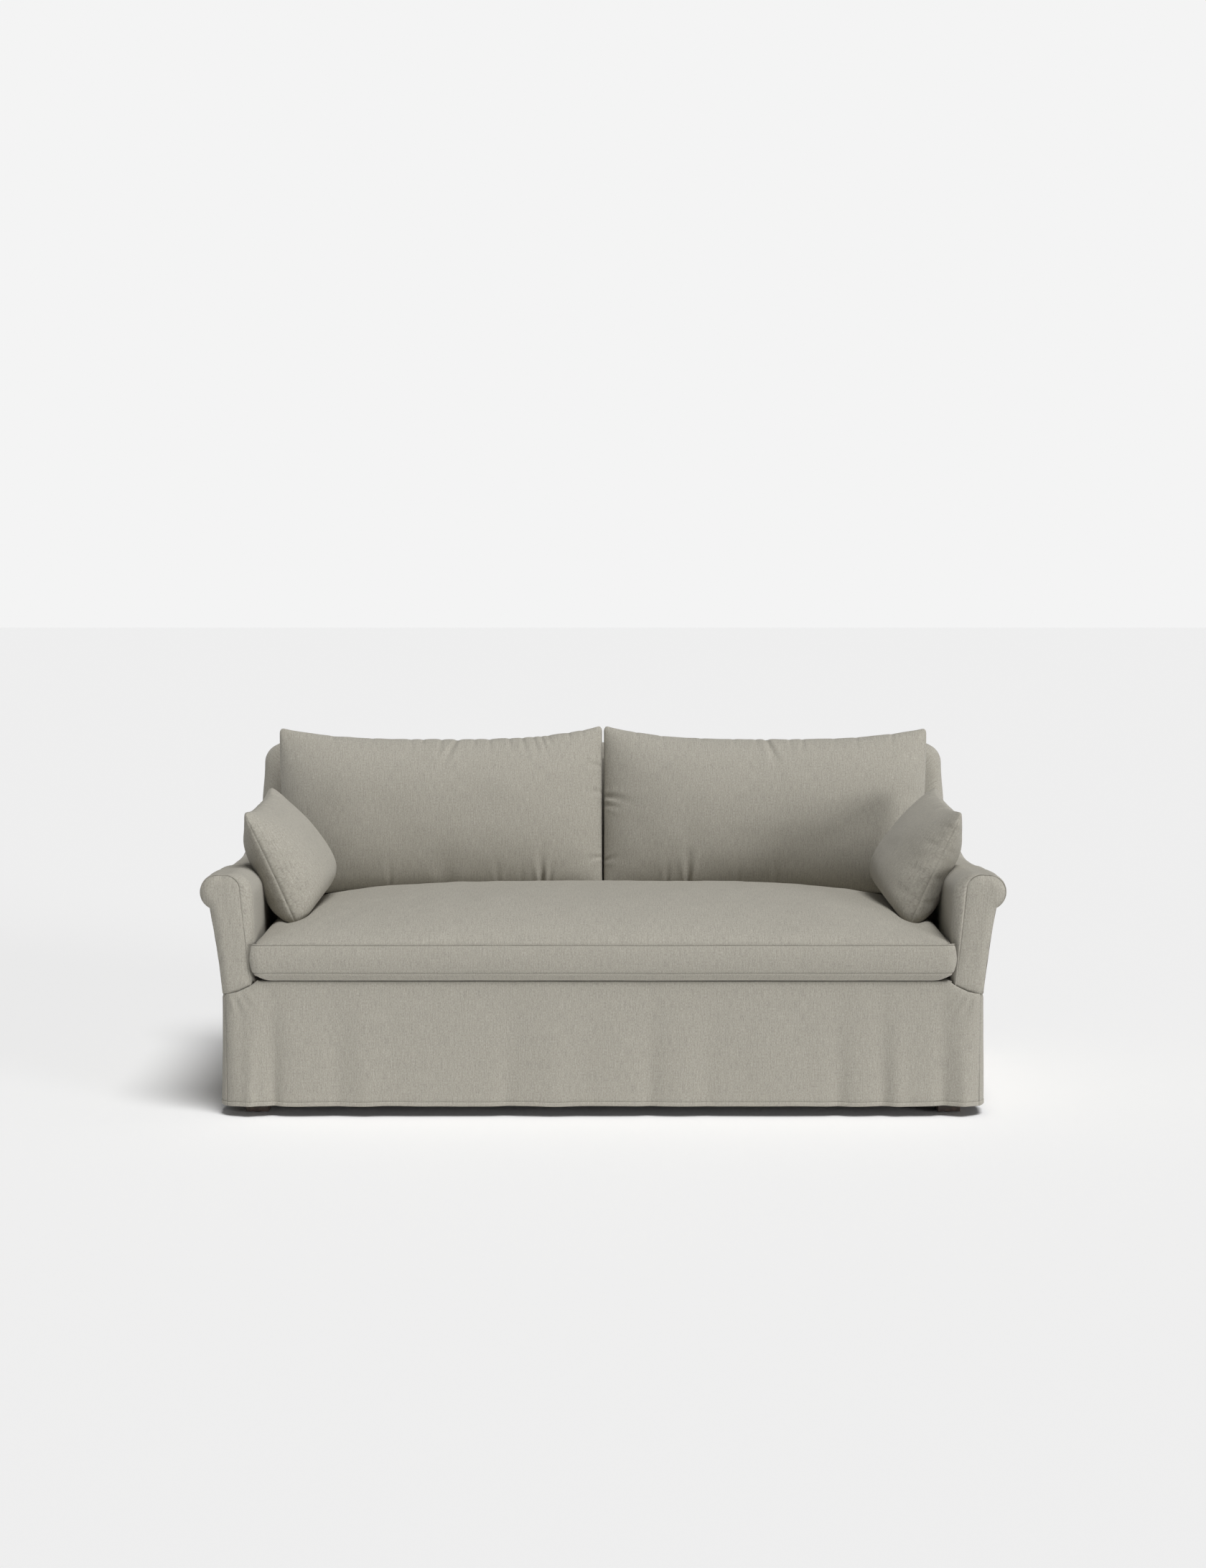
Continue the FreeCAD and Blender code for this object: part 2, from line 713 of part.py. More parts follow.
def back_outline(y_of, inset, foot_z):
    """The back seen from the front: narrow between the arms, wide above them, round shoulders."""
    narrow = mm.half_seat - mm.fit - inset
    wide = mm.half_back - inset
    waist = mm.half_base - inset
    step = mm.back_step_z + inset
    top = mm.back_height - inset
    bend = mm.back_corner

    def at(x, z):
        return V(x, y_of(z), z)

    wall, crest = at(waist, top - bend), at(waist - bend, top)
    left_wall, left_crest = at(-waist, top - bend), at(bend - waist, top)
    return [
        at(narrow, foot_z),
        (at(narrow, step),),
        (at(wide, step),),
        (wall,),
        (corner_middle(wall, crest), crest, BACK_CORNER_FACETS),
        (left_crest,),
        (corner_middle(left_wall, left_crest), left_wall, BACK_CORNER_FACETS),
        (at(-wide, step),),
        (at(-narrow, step),),
        (at(-narrow, foot_z),),
    ]


def back_solid(inset, end_y, foot_z):
    """From the rounded edge of the inside back to the outside back."""

    def rounded(into, draw_in):
        return back_outline(lambda z: raked_y(z, into + inset), inset + draw_in, foot_z)

    return loft([
        rounded(0.0, mm.back_round),
        rounded(mm.back_round, 0.0),
        back_outline(lambda z: end_y, inset, foot_z),
    ])


def make_back_upholstery():
    foot = mm.deck_height - mm.cloth
    outer = back_solid(0.0, mm.cover_end_y, foot)
    hollow = back_solid(mm.cloth, mm.cover_end_y, foot)
    frame_room = behind_rake(
        -mm.frame_half - mm.fit,
        mm.frame_half + mm.fit,
        mm.foot_height,
        mm.arm_back_height + mm.back_round + mm.back_step_gap * 2 + mm.cloth,
        mm.back_pad_thick - mm.fit,
    )
    cover = outer.cut(hollow).cut(frame_room)
    feature("back_cover", cover)

    gap = mm.cloth + mm.fit
    filling = back_solid(gap, mm.cover_end_y, foot)
    behind = behind_rake(
        -mm.overall_width,
        mm.overall_width,
        mm.foot_height,
        mm.back_height + mm.overrun,
        mm.back_pad_thick - mm.fit,
    )
    feature("back_pad", filling.cut(behind))


def make_back_panel():
    """The outside back: the whole outline of the sofa above the skirt, rolls and all."""
    y = mm.cover_end_y
    centre = (mm.roll_x, mm.roll_z)
    stop = notch_angle()
    wall = V(mm.half_base, y, mm.back_height - mm.back_corner)
    crest = V(mm.half_base - mm.back_corner, y, mm.back_height)
    half = curved([
        V(0, y, mm.seam_height),
        (V(mm.half_base, y, mm.seam_height),),
        (
            V(mm.flare_half, y, mm.flare_height),
            on_circle(centre, mm.roll_radius, stop, y),
            HOLLOW_FACETS,
        ),
        (
            on_circle(centre, mm.roll_radius, (stop + ROLL_START_BACK) / 2, y),
            on_circle(centre, mm.roll_radius, ROLL_START_BACK, y),
            ROLL_FACETS,
        ),
        (V(mm.half_back, y, mm.arm_back_height),),
        (wall,),
        (corner_middle(wall, crest), crest, BACK_CORNER_FACETS),
        (V(0, y, mm.back_height),),
    ])
    right = slab(half, V(0, mm.panel_thick, 0))
    feature("outside_back_panel", right.fuse(mirrored(right, -1)).removeSplitter())


# Shares along a panel where a fold begins, and how far each stands out, in turn.
FRONT_FOLD_SHARES = (
    (0.0, 0.5), (0.05, -0.6), (0.088, 0.5), (0.135, -0.9), (0.168, 0.5), (0.355, -0.8),
    (0.398, 0.6), (0.548, -1.0), (0.585, 0.8), (0.622, -0.8), (0.658, 0.5), (0.795, -0.9),
    (0.826, 0.8), (0.856, -0.7), (0.884, 0.7), (0.93, -0.6), (0.968, 1.0), (1.0, 0.0),
)
SIDE_FOLD_SHARES = (
    (0.0, 0.8), (0.07, -0.6), (0.12, 0.6), (0.29, -0.9), (0.35, 0.8), (0.45, -0.7),
    (0.51, 0.5), (0.7, -0.9), (0.76, 0.7), (0.87, -0.6), (0.92, 1.0), (1.0, 0.0),
)
BACK_FOLD_SHARES = (
    (0.0, 1.0), (0.04, -0.6), (0.075, 0.5), (0.2, -0.8), (0.24, 0.7), (0.31, -0.6),
    (0.35, 0.5), (0.49, -0.9), (0.53, 0.7), (0.6, -0.7), (0.64, 0.5), (0.79, -0.8),
    (0.83, 0.7), (0.91, -0.6), (0.95, 1.0), (1.0, 0.0),
)
FOLD_AT_SEAM_SHARE = 0.12
FOLD_FACETS = 4


def fold_path(length, folds, height, swing, out):
    """A strip of folded cloth seen from above: along its outer face, and back along the inner one."""

    def bow(start, end, offset, share):
        return V((start + end) * length / 2, offset + swing * share, height)

    outer = out + mm.cloth
    spans = list(zip(folds[:-1], folds[1:]))
    path = [V(0, outer, height)]
    for (start, share), (end, _) in spans:
        path.append((bow(start, end, outer, share), V(end * length, outer, height), FOLD_FACETS))
    path.append((V(length, out, height),))
    for (start, share), (end, _) in reversed(spans):
        path.append((bow(start, end, out, share), V(start * length, out, height), FOLD_FACETS))
    return path


def skirt_panel(length, folds, top):
    """A hanging panel whose folds deepen to the hem. It runs along X, with outward along Y."""
    swing = mm.skirt_relief - mm.skirt_flare - mm.cloth
    upper = fold_path(length, folds, top, swing * FOLD_AT_SEAM_SHARE, 0.0)
    lower = fold_path(length, folds, mm.skirt_gap, swing, mm.skirt_flare)
    return loft([upper, lower])


def make_skirt():
    front = skirt_panel(mm.base_width, FRONT_FOLD_SHARES, mm.deck_top)
    half_turn = FreeCAD.Rotation(V(0, 0, 1), 180)
    front.Placement = FreeCAD.Placement(V(mm.half_base, mm.facing_y - mm.fit, 0), half_turn)
    above = seam_cutter(mm.front_y - mm.overrun, mm.board_back_y, above=True)
    feature("skirt_front", front.cut(above).cut(mirrored(above, -1)))

    back = skirt_panel(mm.base_width, BACK_FOLD_SHARES, mm.seam_height)
    back.Placement = FreeCAD.Placement(V(-mm.half_base, mm.panel_y, 0), FreeCAD.Rotation())
    feature("skirt_back", back)

    for suffix, side in SIDES:
        panel = skirt_panel(mm.cover_end_y - mm.facing_y, SIDE_FOLD_SHARES, mm.seam_height)
        quarter_turn = FreeCAD.Rotation(V(0, 0, 1), 90)
        panel.Placement = FreeCAD.Placement(V(mm.cloth - mm.half_base, mm.facing_y, 0), quarter_turn)
        feature("skirt_" + suffix, mirrored(panel, -side))


FEET = (
    ("foot_front_left", "-foot_x", "foot_front_y", "foot_height"),
    ("foot_front_right", "foot_x", "foot_front_y", "foot_height"),
    ("foot_rear_left", "-foot_x", "foot_rear_y", "foot_height"),
    ("foot_rear_right", "foot_x", "foot_rear_y", "foot_height"),
    ("foot_centre", "middle", "middle", "dust_low"),
)


def make_foot(node, x_word, y_word, top_word):
    """A block that draws in towards the floor, with its long edges cut off."""
    body = doc.addObject("PartDesign::Body", node)
    block = body.newObject("PartDesign::AdditiveWedge", node + "_block")
    spans = {
        "Xmin": "-foot_width / 2", "Xmax": "foot_width / 2",
        "Zmin": "-foot_width / 2", "Zmax": "foot_width / 2",
        "X2min": "-foot_toe / 2", "X2max": "foot_toe / 2",
        "Z2min": "-foot_toe / 2", "Z2max": "foot_toe / 2",
        "Ymin": "middle", "Ymax": top_word + " - glide_height",
    }
    for side, formula in spans.items():
        block.setExpression(side, spell(formula))
    block.Placement = FreeCAD.Placement(V(0, 0, 0), FreeCAD.Rotation(V(1, 0, 0), -90))
    doc.recompute()
    upright = [
        "Edge%d" % (i + 1)
        for i, edge in enumerate(block.Shape.Edges)
        if abs(edge.tangentAt(edge.FirstParameter).z) > math.sqrt(0.5)
    ]
    chamfer = body.newObject("PartDesign::Chamfer", node + "_chamfer")
    chamfer.Base = (block, upright)
    chamfer.setExpression("Size", "Sizes.foot_chamfer")
    for axis, word in zip("xyz", (x_word, y_word, top_word)):
        body.setExpression("Placement.Base." + axis, spell(word))
    keep(node, body)


def make_feet():
    glides = []
    for node, x_word, y_word, top_word in FEET:
        make_foot(node, x_word, y_word, top_word)
        spot = V(known(x_word), known(y_word), 0)
        glides.append(Part.makeCylinder(mm.glide_radius, mm.glide_height, spot))
    feature("foot_glides", Part.makeCompound(glides))


def make_dust_cover():
    """A sheet under the frame, notched round the four corner feet."""
    quarter = [
        ("dust_half", "board_front_y"),
        ("dust_half", "dust_front_y"),
        ("frame_half", "dust_front_y"),
        ("frame_half", "dust_rear_y"),
        ("dust_half", "dust_rear_y"),
        ("dust_half", "frame_back_y"),
    ]
    corners = quarter + [("-" + x, y) for x, y in reversed(quarter)]
    body = padded_body("dust_cover", "XY_Plane", corners, "burlap", reverse=True)
    body.setExpression("Placement.Base.z", "Sizes.foot_height")


BEND_SHARE = 0.25


def spring_wire():
    """One flat zigzag of square wire with cut corners, from the front rail to the rear rail."""
    start = mm.rail_back_y - mm.clip_length / 2
    end = mm.rear_rail_y + mm.clip_length / 2
    bars = int((end - start) / mm.spring_pitch)
    pitch = (end - start - mm.wire_thick) / bars
    half = mm.spring_width / 2
    chamfer = pitch * BEND_SHARE
    centre = []
    for i in range(bars + 1):
        y = start + mm.wire_thick / 2 + pitch * i
        side = 1 if i % 2 == 0 else -1
        near, far = (-side * half, side * half)
        if i > 0:
            centre.append((near, y - chamfer))
            centre.append((near + side * chamfer, y))
        else:
            centre.append((near, y))
        if i < bars:
            centre.append((far - side * chamfer, y))
            centre.append((far, y + chamfer))
        else:
            centre.append((far, y))
    return offset_strip(centre, mm.wire_thick / 2), (start, end)


def offset_strip(centre, half):
    """The outline of a strip along straight runs, with mitred corners."""
    left, right = [], []
    count = len(centre)
    for i, (x, y) in enumerate(centre):
        before = centre[max(i - 1, 0)]
        after = centre[min(i + 1, count - 1)]
        first = unit(x - before[0], y - before[1]) if i > 0 else None
        second = unit(after[0] - x, after[1] - y) if i < count - 1 else None
        first = first or second
        second = second or first
        mean = unit(first[0] + second[0], first[1] + second[1])
        stretch = half / (mean[0] * first[0] + mean[1] * first[1])
        left.append((x - mean[1] * stretch, y + mean[0] * stretch))
        right.append((x + mean[1] * stretch, y - mean[0] * stretch))
    return left + right[::-1]


def unit(x, y):
    size = math.hypot(x, y)
    return (x / size, y / size)


SPRING_COUNT = 7
CROWN_FACETS = 4
TIE_SHARES = (-0.4, 0.4)


def make_springs():
    outline, (start, end) = spring_wire()
    low = mm.rail_top + mm.spring_seat
    points = [V(x, y, low) for x, y in outline]
    tall = slab(Part.makePolygon(points + points[:1]), V(0, 0, mm.spring_crown + mm.wire_thick))
    middle = (start + end) / 2
    width = mm.spring_width + mm.overrun
    side_x = -width / 2
    up = V(0, 0, mm.wire_thick)
    crown = V(side_x, middle, low + mm.spring_crown)
    heads = (V(side_x, start, low), V(side_x, end, low))
    arch_points = faceted([
        heads[0],
        (crown, heads[1], CROWN_FACETS),
        (heads[1] + up,),
        (crown + up, heads[0] + up, CROWN_FACETS),
    ])
    arch = slab(Part.makePolygon(arch_points + arch_points[:1]), V(width, 0, 0))
    spring = tall.common(arch)
    springs, clips = [], []
    for i in range(SPRING_COUNT):
        x = (i - (SPRING_COUNT - 1) / 2) * mm.spring_spacing
        one = spring.copy()
        one.translate(V(x, 0, 0))
        springs.append(one)
        for clip_y in (mm.rail_back_y - mm.clip_length, mm.rear_rail_y):
            clips.append(
                Part.makeBox(
                    mm.clip_width,
                    mm.clip_length,
                    mm.spring_seat - mm.fit,
                    V(x - mm.clip_width / 2, clip_y, mm.rail_top),
                )
            )
    feature("seat_springs", Part.makeCompound(springs))
    feature("spring_clips", Part.makeCompound(clips))
    ties = []
    half = mm.spring_spacing * (SPRING_COUNT - 1) / 2 + mm.spring_width / 2
    for share in TIE_SHARES:
        y = middle + share * (end - start) / 2
        plumb = Part.makeLine(V(0, y, low - mm.overrun), V(0, y, mm.deck_height))
        z = min(vertex.Z for vertex in arch.common(plumb).Vertexes) - mm.tie_radius - mm.fit
        ties.append(Part.makeCylinder(mm.tie_radius, 2 * half, V(-half, y, z), V(1, 0, 0)))
    feature("spring_tie_wires", Part.makeCompound(ties))


def make_deck():
    across = ("-half_seat + fit", "half_seat - fit")
    depth = ("deck_front_y", "deck_back_y")
    box("deck_burlap", across, ("board_front_y", "deck_back_y"), ("burlap_z", "burlap_top"))
    box("deck_pad", across, depth, ("burlap_top", "deck_cloth_z - fit"))
    box("deck_cover", across, ("facing_y + cloth", "deck_back_y"), ("deck_cloth_z", "deck_top"))
    low = mm.burlap_top
    top = mm.deck_cloth_z - mm.fit
    front = mm.board_front_y
    back = front + mm.edge_roll_depth
    bulge = mm.facing_thick / 2
    half = mm.half_seat - mm.fit
    outline = curved([
        V(-half, front, low),
        (V(-half, front - bulge, (low + top) / 2), V(-half, front, top), HOLLOW_FACETS),
        (V(-half, back, top),),
        (V(-half, back, low),),
    ])
    feature("front_edge_roll", slab(outline, V(2 * half, 0, 0)))


# Stations across the seat cushion: place, share of the crown, share that its border draws in.
SEAT_STATION_SHARES = (
    (-1.0, 0.0, 1.0), (-0.985, 0.22, 0.35), (-0.94, 0.4, 0.1), (-0.86, 0.6, 0.0), (-0.72, 0.8, 0.0),
    (-0.4, 0.96, 0.0), (0.0, 1.0, 0.0), (0.4, 0.96, 0.0), (0.72, 0.8, 0.0), (0.86, 0.6, 0.0),
    (0.94, 0.4, 0.1), (0.985, 0.22, 0.35), (1.0, 0.0, 1.0),
)
BORDER_FACETS = 4
CROWN_SEAT_FACETS = 8


def seat_section(x, crown_share, draw_share, inset):
    """Front border, crowned top, back border and flat bottom."""
    draw = mm.border_bulge * draw_share
    low = mm.deck_height + inset
    front = mm.front_y + mm.border_bulge + draw + inset
    back = mm.front_y + mm.seat_cushion_depth - mm.border_bulge - draw - inset
    seam = mm.seat_seam_top - inset
    bow = mm.border_bulge
    rise = mm.seam_rise + (mm.seat_crown - mm.seat_seam_top - mm.seam_rise) * crown_share
    middle = (front + back) / 2
    half_up = (low + seam) / 2
    return [
        V(x, front, low),
        (V(x, front - bow, half_up), V(x, front, seam), BORDER_FACETS),
        (V(x, middle, seam + rise), V(x, back, seam), CROWN_SEAT_FACETS),
        (V(x, back + bow, half_up), V(x, back, low), BORDER_FACETS),
    ]


def make_seat_cushion():
    half = mm.half_seat - mm.fit

    def solid(inset, half_width):
        return loft([
            seat_section(station * half_width, crown, draw, inset)
            for station, crown, draw in SEAT_STATION_SHARES
        ])

    outer = solid(0.0, half)
    hollow = solid(mm.cloth, half - mm.cloth)
    feature("seat_cushion_cover", outer.cut(hollow))
    gap = mm.cloth + mm.fill_gap
    feature("seat_cushion_core", solid(gap, half - gap))
    return outer


# How a knife-edge cushion swells: stations from side to side, steps up its face, and powers.
CUSHION_ACROSS_SHARES = (-1.0, -0.96, -0.87, -0.7, -0.4, 0.0, 0.4, 0.7, 0.87, 0.96, 1.0)
CUSHION_UP_SHARES = (-1.0, -0.9, -0.7, -0.4, 0.0, 0.4, 0.7, 0.9, 1.0)
SWELL_ACROSS_POWER = 3.0
SWELL_UP_POWER = 2.4
SWELL_ROUND_POWER = 0.55
PEAK_POWER = 3.0


def knife_form(plan, rim, thick, edge, peak, peak_low):
    """A crowned closed form with a sewn edge, standing on its lower edge. Its sides draw in between
    its corners, and the one on the right is squeezed in towards its foot. Rim is in from the edge."""
    half_width = plan.width / 2 - rim
    half_height = plan.height / 2 - rim

    def at(across, up, face):
        swell = (1 - abs(across) ** SWELL_ACROSS_POWER) * (1 - abs(up) ** SWELL_UP_POWER)
        reach = peak if up > 0 else peak_low
        squeezed = plan.squeeze * (1 - up) / 2 * max(across, 0)
        return V(
            across * (half_width - plan.draw * (1 - up ** 2)) - squeezed,
            face * (edge / 2 + (thick - edge) / 2 * swell ** SWELL_ROUND_POWER),
            rim + half_height * (1 + up) + reach * up * abs(across) ** PEAK_POWER,
        )

    return skin([
        [at(across, up, -1) for up in CUSHION_UP_SHARES]
        + [at(across, up, 1) for up in reversed(CUSHION_UP_SHARES)]
        for across in CUSHION_ACROSS_SHARES
    ])


def knife_cushion(plan):
    """Outer form, cover and fill of a knife-edge cushion."""

    def inside(inset):
        rim = mm.seam_allowance + inset
        return knife_form(plan, rim, plan.thick - 2 * (mm.cloth + inset), mm.tip_thick / 2, 0.0, 0.0)

    outer = knife_form(plan, 0.0, plan.thick, mm.tip_thick, plan.peak, plan.peak_low)
    return outer, outer.cut(inside(0.0)), inside(mm.fill_gap)


SLIDE_STEPS = 40
NEAR_ENOUGH_SHARE = 1 / 3


def slide_until_near(shapes, direction, targets):
    """Moves shapes along a direction until the first lies one clearance from a target."""
    lead = shapes[0]
    for _ in range(SLIDE_STEPS):
        gap = min(lead.distToShape(target)[0] for target in targets)
        step = gap - mm.fit
        if step < mm.fit * NEAR_ENOUGH_SHARE:
            break
        for shape in shapes:
            shape.translate(direction * step)


def make_back_cushions(seat):
    plan = SimpleNamespace(
        width=mm.back_cushion_width,
        height=mm.back_cushion_height,
        thick=mm.back_cushion_thick,
        draw=mm.back_cushion_draw,
        squeeze=mm.back_cushion_squeeze,
        peak=mm.back_cushion_peak,
        peak_low=0.0,
    )
    outer, cover, fill = knife_cushion(plan)
    back_front = parts["back_cover"].Shape
    lean = FreeCAD.Rotation(V(1, 0, 0), -mm.back_cushion_lean)
    x = mm.cushion_split + mm.back_cushion_width / 2
    start = V(x, raked_y(mm.seat_crown) - mm.back_cushion_thick, mm.seat_crown)
    shapes = [outer, cover, fill]
    for shape in shapes:
        shape.Placement = FreeCAD.Placement(start, lean)
    slide_until_near(shapes, V(0, 1, 0), [back_front])
    slide_until_near(shapes, -rake_slope(), [seat])
    for suffix, side in SIDES:
        feature("back_cushion_cover_" + suffix, mirrored(cover, side))
        feature("back_cushion_fill_" + suffix, mirrored(fill, side))
    return outer


def make_throw_pillows(seat, back_cushion):
    plan = SimpleNamespace(
        width=mm.pillow_width,
        height=mm.pillow_height,
        thick=mm.pillow_thick,
        draw=mm.pillow_peak,
        squeeze=0.0,
        peak=mm.pillow_peak,
        peak_low=mm.pillow_peak,
    )
    outer, cover, fill = knife_cushion(plan)
    arm = parts["arm_cover_right"].Shape
    along = FreeCAD.Rotation(V(0, 0, 1), 90 + mm.pillow_turn)
    lean = FreeCAD.Rotation(V(0, 1, 0), mm.pillow_lean)
    pitch = FreeCAD.Rotation(V(1, 0, 0), mm.pillow_pitch)
    turn = pitch.multiply(lean).multiply(along)
    start = V(
        mm.half_seat - mm.pillow_edge_gap,
        mm.facing_y + mm.pillow_depth,
        mm.arm_height + mm.pillow_height,
    )
    shapes = [outer, cover, fill]
    for shape in shapes:
        shape.Placement = FreeCAD.Placement(start, turn)
    slide_until_near(shapes, V(0, 0, -1), [seat, arm, back_cushion])
    for suffix, side in SIDES:
        feature("throw_pillow_cover_" + suffix, mirrored(cover, side))
        feature("throw_pillow_fill_" + suffix, mirrored(fill, side))


def build():
    make_seat_frame()
    make_corner_blocks()
    make_back_frame()
    for suffix, side in SIDES:
        make_back_post(suffix, side)
        make_arm_board(suffix, side)
        make_arm_rails(suffix, side)
        make_arm(suffix, side)
    make_back_upholstery()
    make_back_panel()
    make_skirt()
    make_feet()
    make_dust_cover()
    make_springs()
    make_deck()
    seat = make_seat_cushion()
    back_cushion = make_back_cushions(seat)
    make_throw_pillows(seat, back_cushion)


def check_and_write():
    doc.recompute()
    for thing in doc.Objects:
        if {"Invalid", "Error"} & set(thing.State):
            raise RuntimeError("%s did not build: %s" % (thing.Label, thing.State))
    os.makedirs("parts", exist_ok=True)
    for node, thing in parts.items():
        shape = thing.Shape
        if shape.isNull() or not shape.isValid() or not shape.Solids:
            raise RuntimeError("%s has no valid solid" % node)
        shape.exportStep("parts/%s.step" % node)


build()
check_and_write()
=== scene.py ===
import math
from types import SimpleNamespace

import bmesh
import bpy
from mathutils import Euler, Matrix, Vector, noise
from mathutils.bvhtree import BVHTree


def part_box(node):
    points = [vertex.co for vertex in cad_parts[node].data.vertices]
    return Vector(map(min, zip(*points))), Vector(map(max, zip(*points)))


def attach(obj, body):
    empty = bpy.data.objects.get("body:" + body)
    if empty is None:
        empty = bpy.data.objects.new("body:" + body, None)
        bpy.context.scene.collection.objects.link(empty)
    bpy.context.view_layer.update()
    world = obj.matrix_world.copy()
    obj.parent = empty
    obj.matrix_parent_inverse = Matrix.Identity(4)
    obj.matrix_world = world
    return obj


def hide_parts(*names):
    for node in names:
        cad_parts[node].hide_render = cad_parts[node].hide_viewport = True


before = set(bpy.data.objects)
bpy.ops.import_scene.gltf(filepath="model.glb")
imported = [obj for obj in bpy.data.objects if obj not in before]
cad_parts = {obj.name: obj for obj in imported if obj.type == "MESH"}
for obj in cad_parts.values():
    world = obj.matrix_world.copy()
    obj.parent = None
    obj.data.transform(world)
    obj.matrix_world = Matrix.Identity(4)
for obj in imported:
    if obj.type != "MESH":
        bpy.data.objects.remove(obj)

bl_info = {
    "name": "Rolled Arm Sofa",
    "version": (1, 0, 0),
    "blender": (4, 5, 0),
    "location": "View3D > Sidebar > Sofa",
    "description": "Dresses the packed sofa in its washed linen slipcover",
    "category": "Object",
}

SIDES = (("left", -1), ("right", 1))


def linear(code):
    """A colour written as sRGB hex, as the linear values that Blender's nodes take."""
    shares = [int(code[i:i + 2], 16) / 255 for i in (1, 3, 5)]
    return tuple(s / 12.92 if s <= 0.04045 else ((s + 0.055) / 1.055) ** 2.4 for s in shares)


def length(default, name, description):
    return bpy.props.FloatProperty(name=name, description=description, default=default, unit="LENGTH")


def colour(code, name, description):
    return bpy.props.FloatVectorProperty(
        name=name, description=description, default=linear(code), subtype="COLOR", min=0, max=1
    )


class SofaLinen(bpy.types.PropertyGroup):
    """The slipcover cloth."""

    cloth: colour("#A6A297", "Cloth", "Washed greige linen")
    dark_slub: colour("#8E8A82", "Dark slub", "Thicker threads that took less bleach")
    pale_slub: colour("#BBB7AC", "Pale slub", "Thinner threads between them")
    slub_spacing: length(0.0030, "Slub spacing", "Slub to slub, across the warp")
    slub_length: length(0.03, "Slub length", "How far one slub runs")
    thread_spacing: length(0.0020, "Thread spacing", "Drawn twice as coarse as real linen, to show at all")
    thickness: length(0.002, "Thickness", "Lined cloth")


class SofaSkirt(bpy.types.PropertyGroup):
    """The floor-length skirt."""

    hem: length(0.028, "Hem height", "Floor to hem")
    hem_wave: length(0.0018, "Hem wave", "How unevenly the hem hangs")
    stitch_up: length(0.0105, "Stitch height", "Hem edge to its topstitch")
    fold_depth: length(0.0108, "Fold depth", "Ridge to valley at the hem")
    flare: length(0.006, "Flare", "How far the hem hangs out")


class SofaCushions(bpy.types.PropertyGroup):
    """The loose cushions."""

    seat_crown: length(0.545, "Seat crown", "Floor to the highest point of the seat cushion")
    back_thick: length(0.212, "Back cushion", "Thickness at its crown")
    pillow_thick: length(0.185, "Throw pillow", "Thickness at its crown")
    gather_depth: length(0.0045, "Gathers", "Depth of a gather at a seam")


class SofaStage(bpy.types.PropertyGroup):
    """Floor and light."""

    floor: colour("#FFFFFF", "Floor", "Pale studio floor")
    overhead: bpy.props.FloatProperty(name="Overhead", description="Large soft light above", default=2.36)
    side: bpy.props.FloatProperty(name="Side", description="Low soft light from the right", default=1.5)
    ambient: bpy.props.FloatProperty(name="Ambient", description="Light from all round", default=0.14)


class SofaSettings(bpy.types.PropertyGroup):
    linen: bpy.props.PointerProperty(type=SofaLinen)
    skirt: bpy.props.PointerProperty(type=SofaSkirt)
    cushions: bpy.props.PointerProperty(type=SofaCushions)
    stage: bpy.props.PointerProperty(type=SofaStage)


def settings():
    return bpy.context.scene.sofa


# Outlines in the plane of the arm fronts: x across, z up.
HALF_SEAT = 0.880
HALF_BASE = 0.960
SEAM_Z = 0.313
ARM_TOP = 0.617
ARM_RISE = 0.108
SHOULDER = 0.058
ROLL = 0.0465
ROLL_AT = (0.971, 0.569)
NOTCH_DEGREES = -62.7
HOLLOW = (0.973, 0.421)
# How many degrees of the roll the sweep up to the back takes.
ROLL_CLIMB = 66
DECK_Z = 0.345
# The back: half its width, its top and round shoulders, and the step where it widens over the arms.
HALF_BACK = 0.963
HALF_WIDE = 0.9675
BACK_TOP = 0.889
BACK_CORNER = 0.055
BACK_STEP = 0.727
STEP_LIP = 0.008
# Depths: the cushion's front, the facings, the back's raked face, the covers' ends and the back panel.
FRONT_Y = -0.4825
FACING_Y = -0.4625
FACING_THICK = 0.005
BACK_FACE_Y = 0.3365
COVER_END_Y = 0.4645
PANEL_Y = 0.4685
RAKE = 0.045 / 0.544


def smooth(share):
    """A share held between nought and one, with soft ends."""
    share = min(max(share, 0.0), 1.0)
    return share * share * (3 - 2 * share)


def steady(share):
    """A share that runs straight, and starts at nought."""
    return max(share, 0.0)


def fade_in(value, start, run):
    """Nought up to the start, and one from a run later."""
    return smooth((value - start) / run)


def bump(distance, width):
    """A soft rise of one, as wide as it says."""
    return math.exp(-(distance / width) ** 2)


def between(table, place, ease=smooth):
    """Reads a curve given by a few points. Ease shapes the run between each two."""
    for (low, a), (high, b) in zip(table, table[1:]):
        if place <= high:
            return a + (b - a) * ease((place - low) / (high - low))
    return table[-1][1]


def evenly(low, high, count):
    """Evenly spaced values from low to high."""
    return [low + (high - low) * i / count for i in range(count + 1)]


def circle_point(centre, radius, degrees):
    turn = math.radians(degrees)
    return Vector((centre[0] + radius * math.cos(turn), centre[1] + radius * math.sin(turn)))


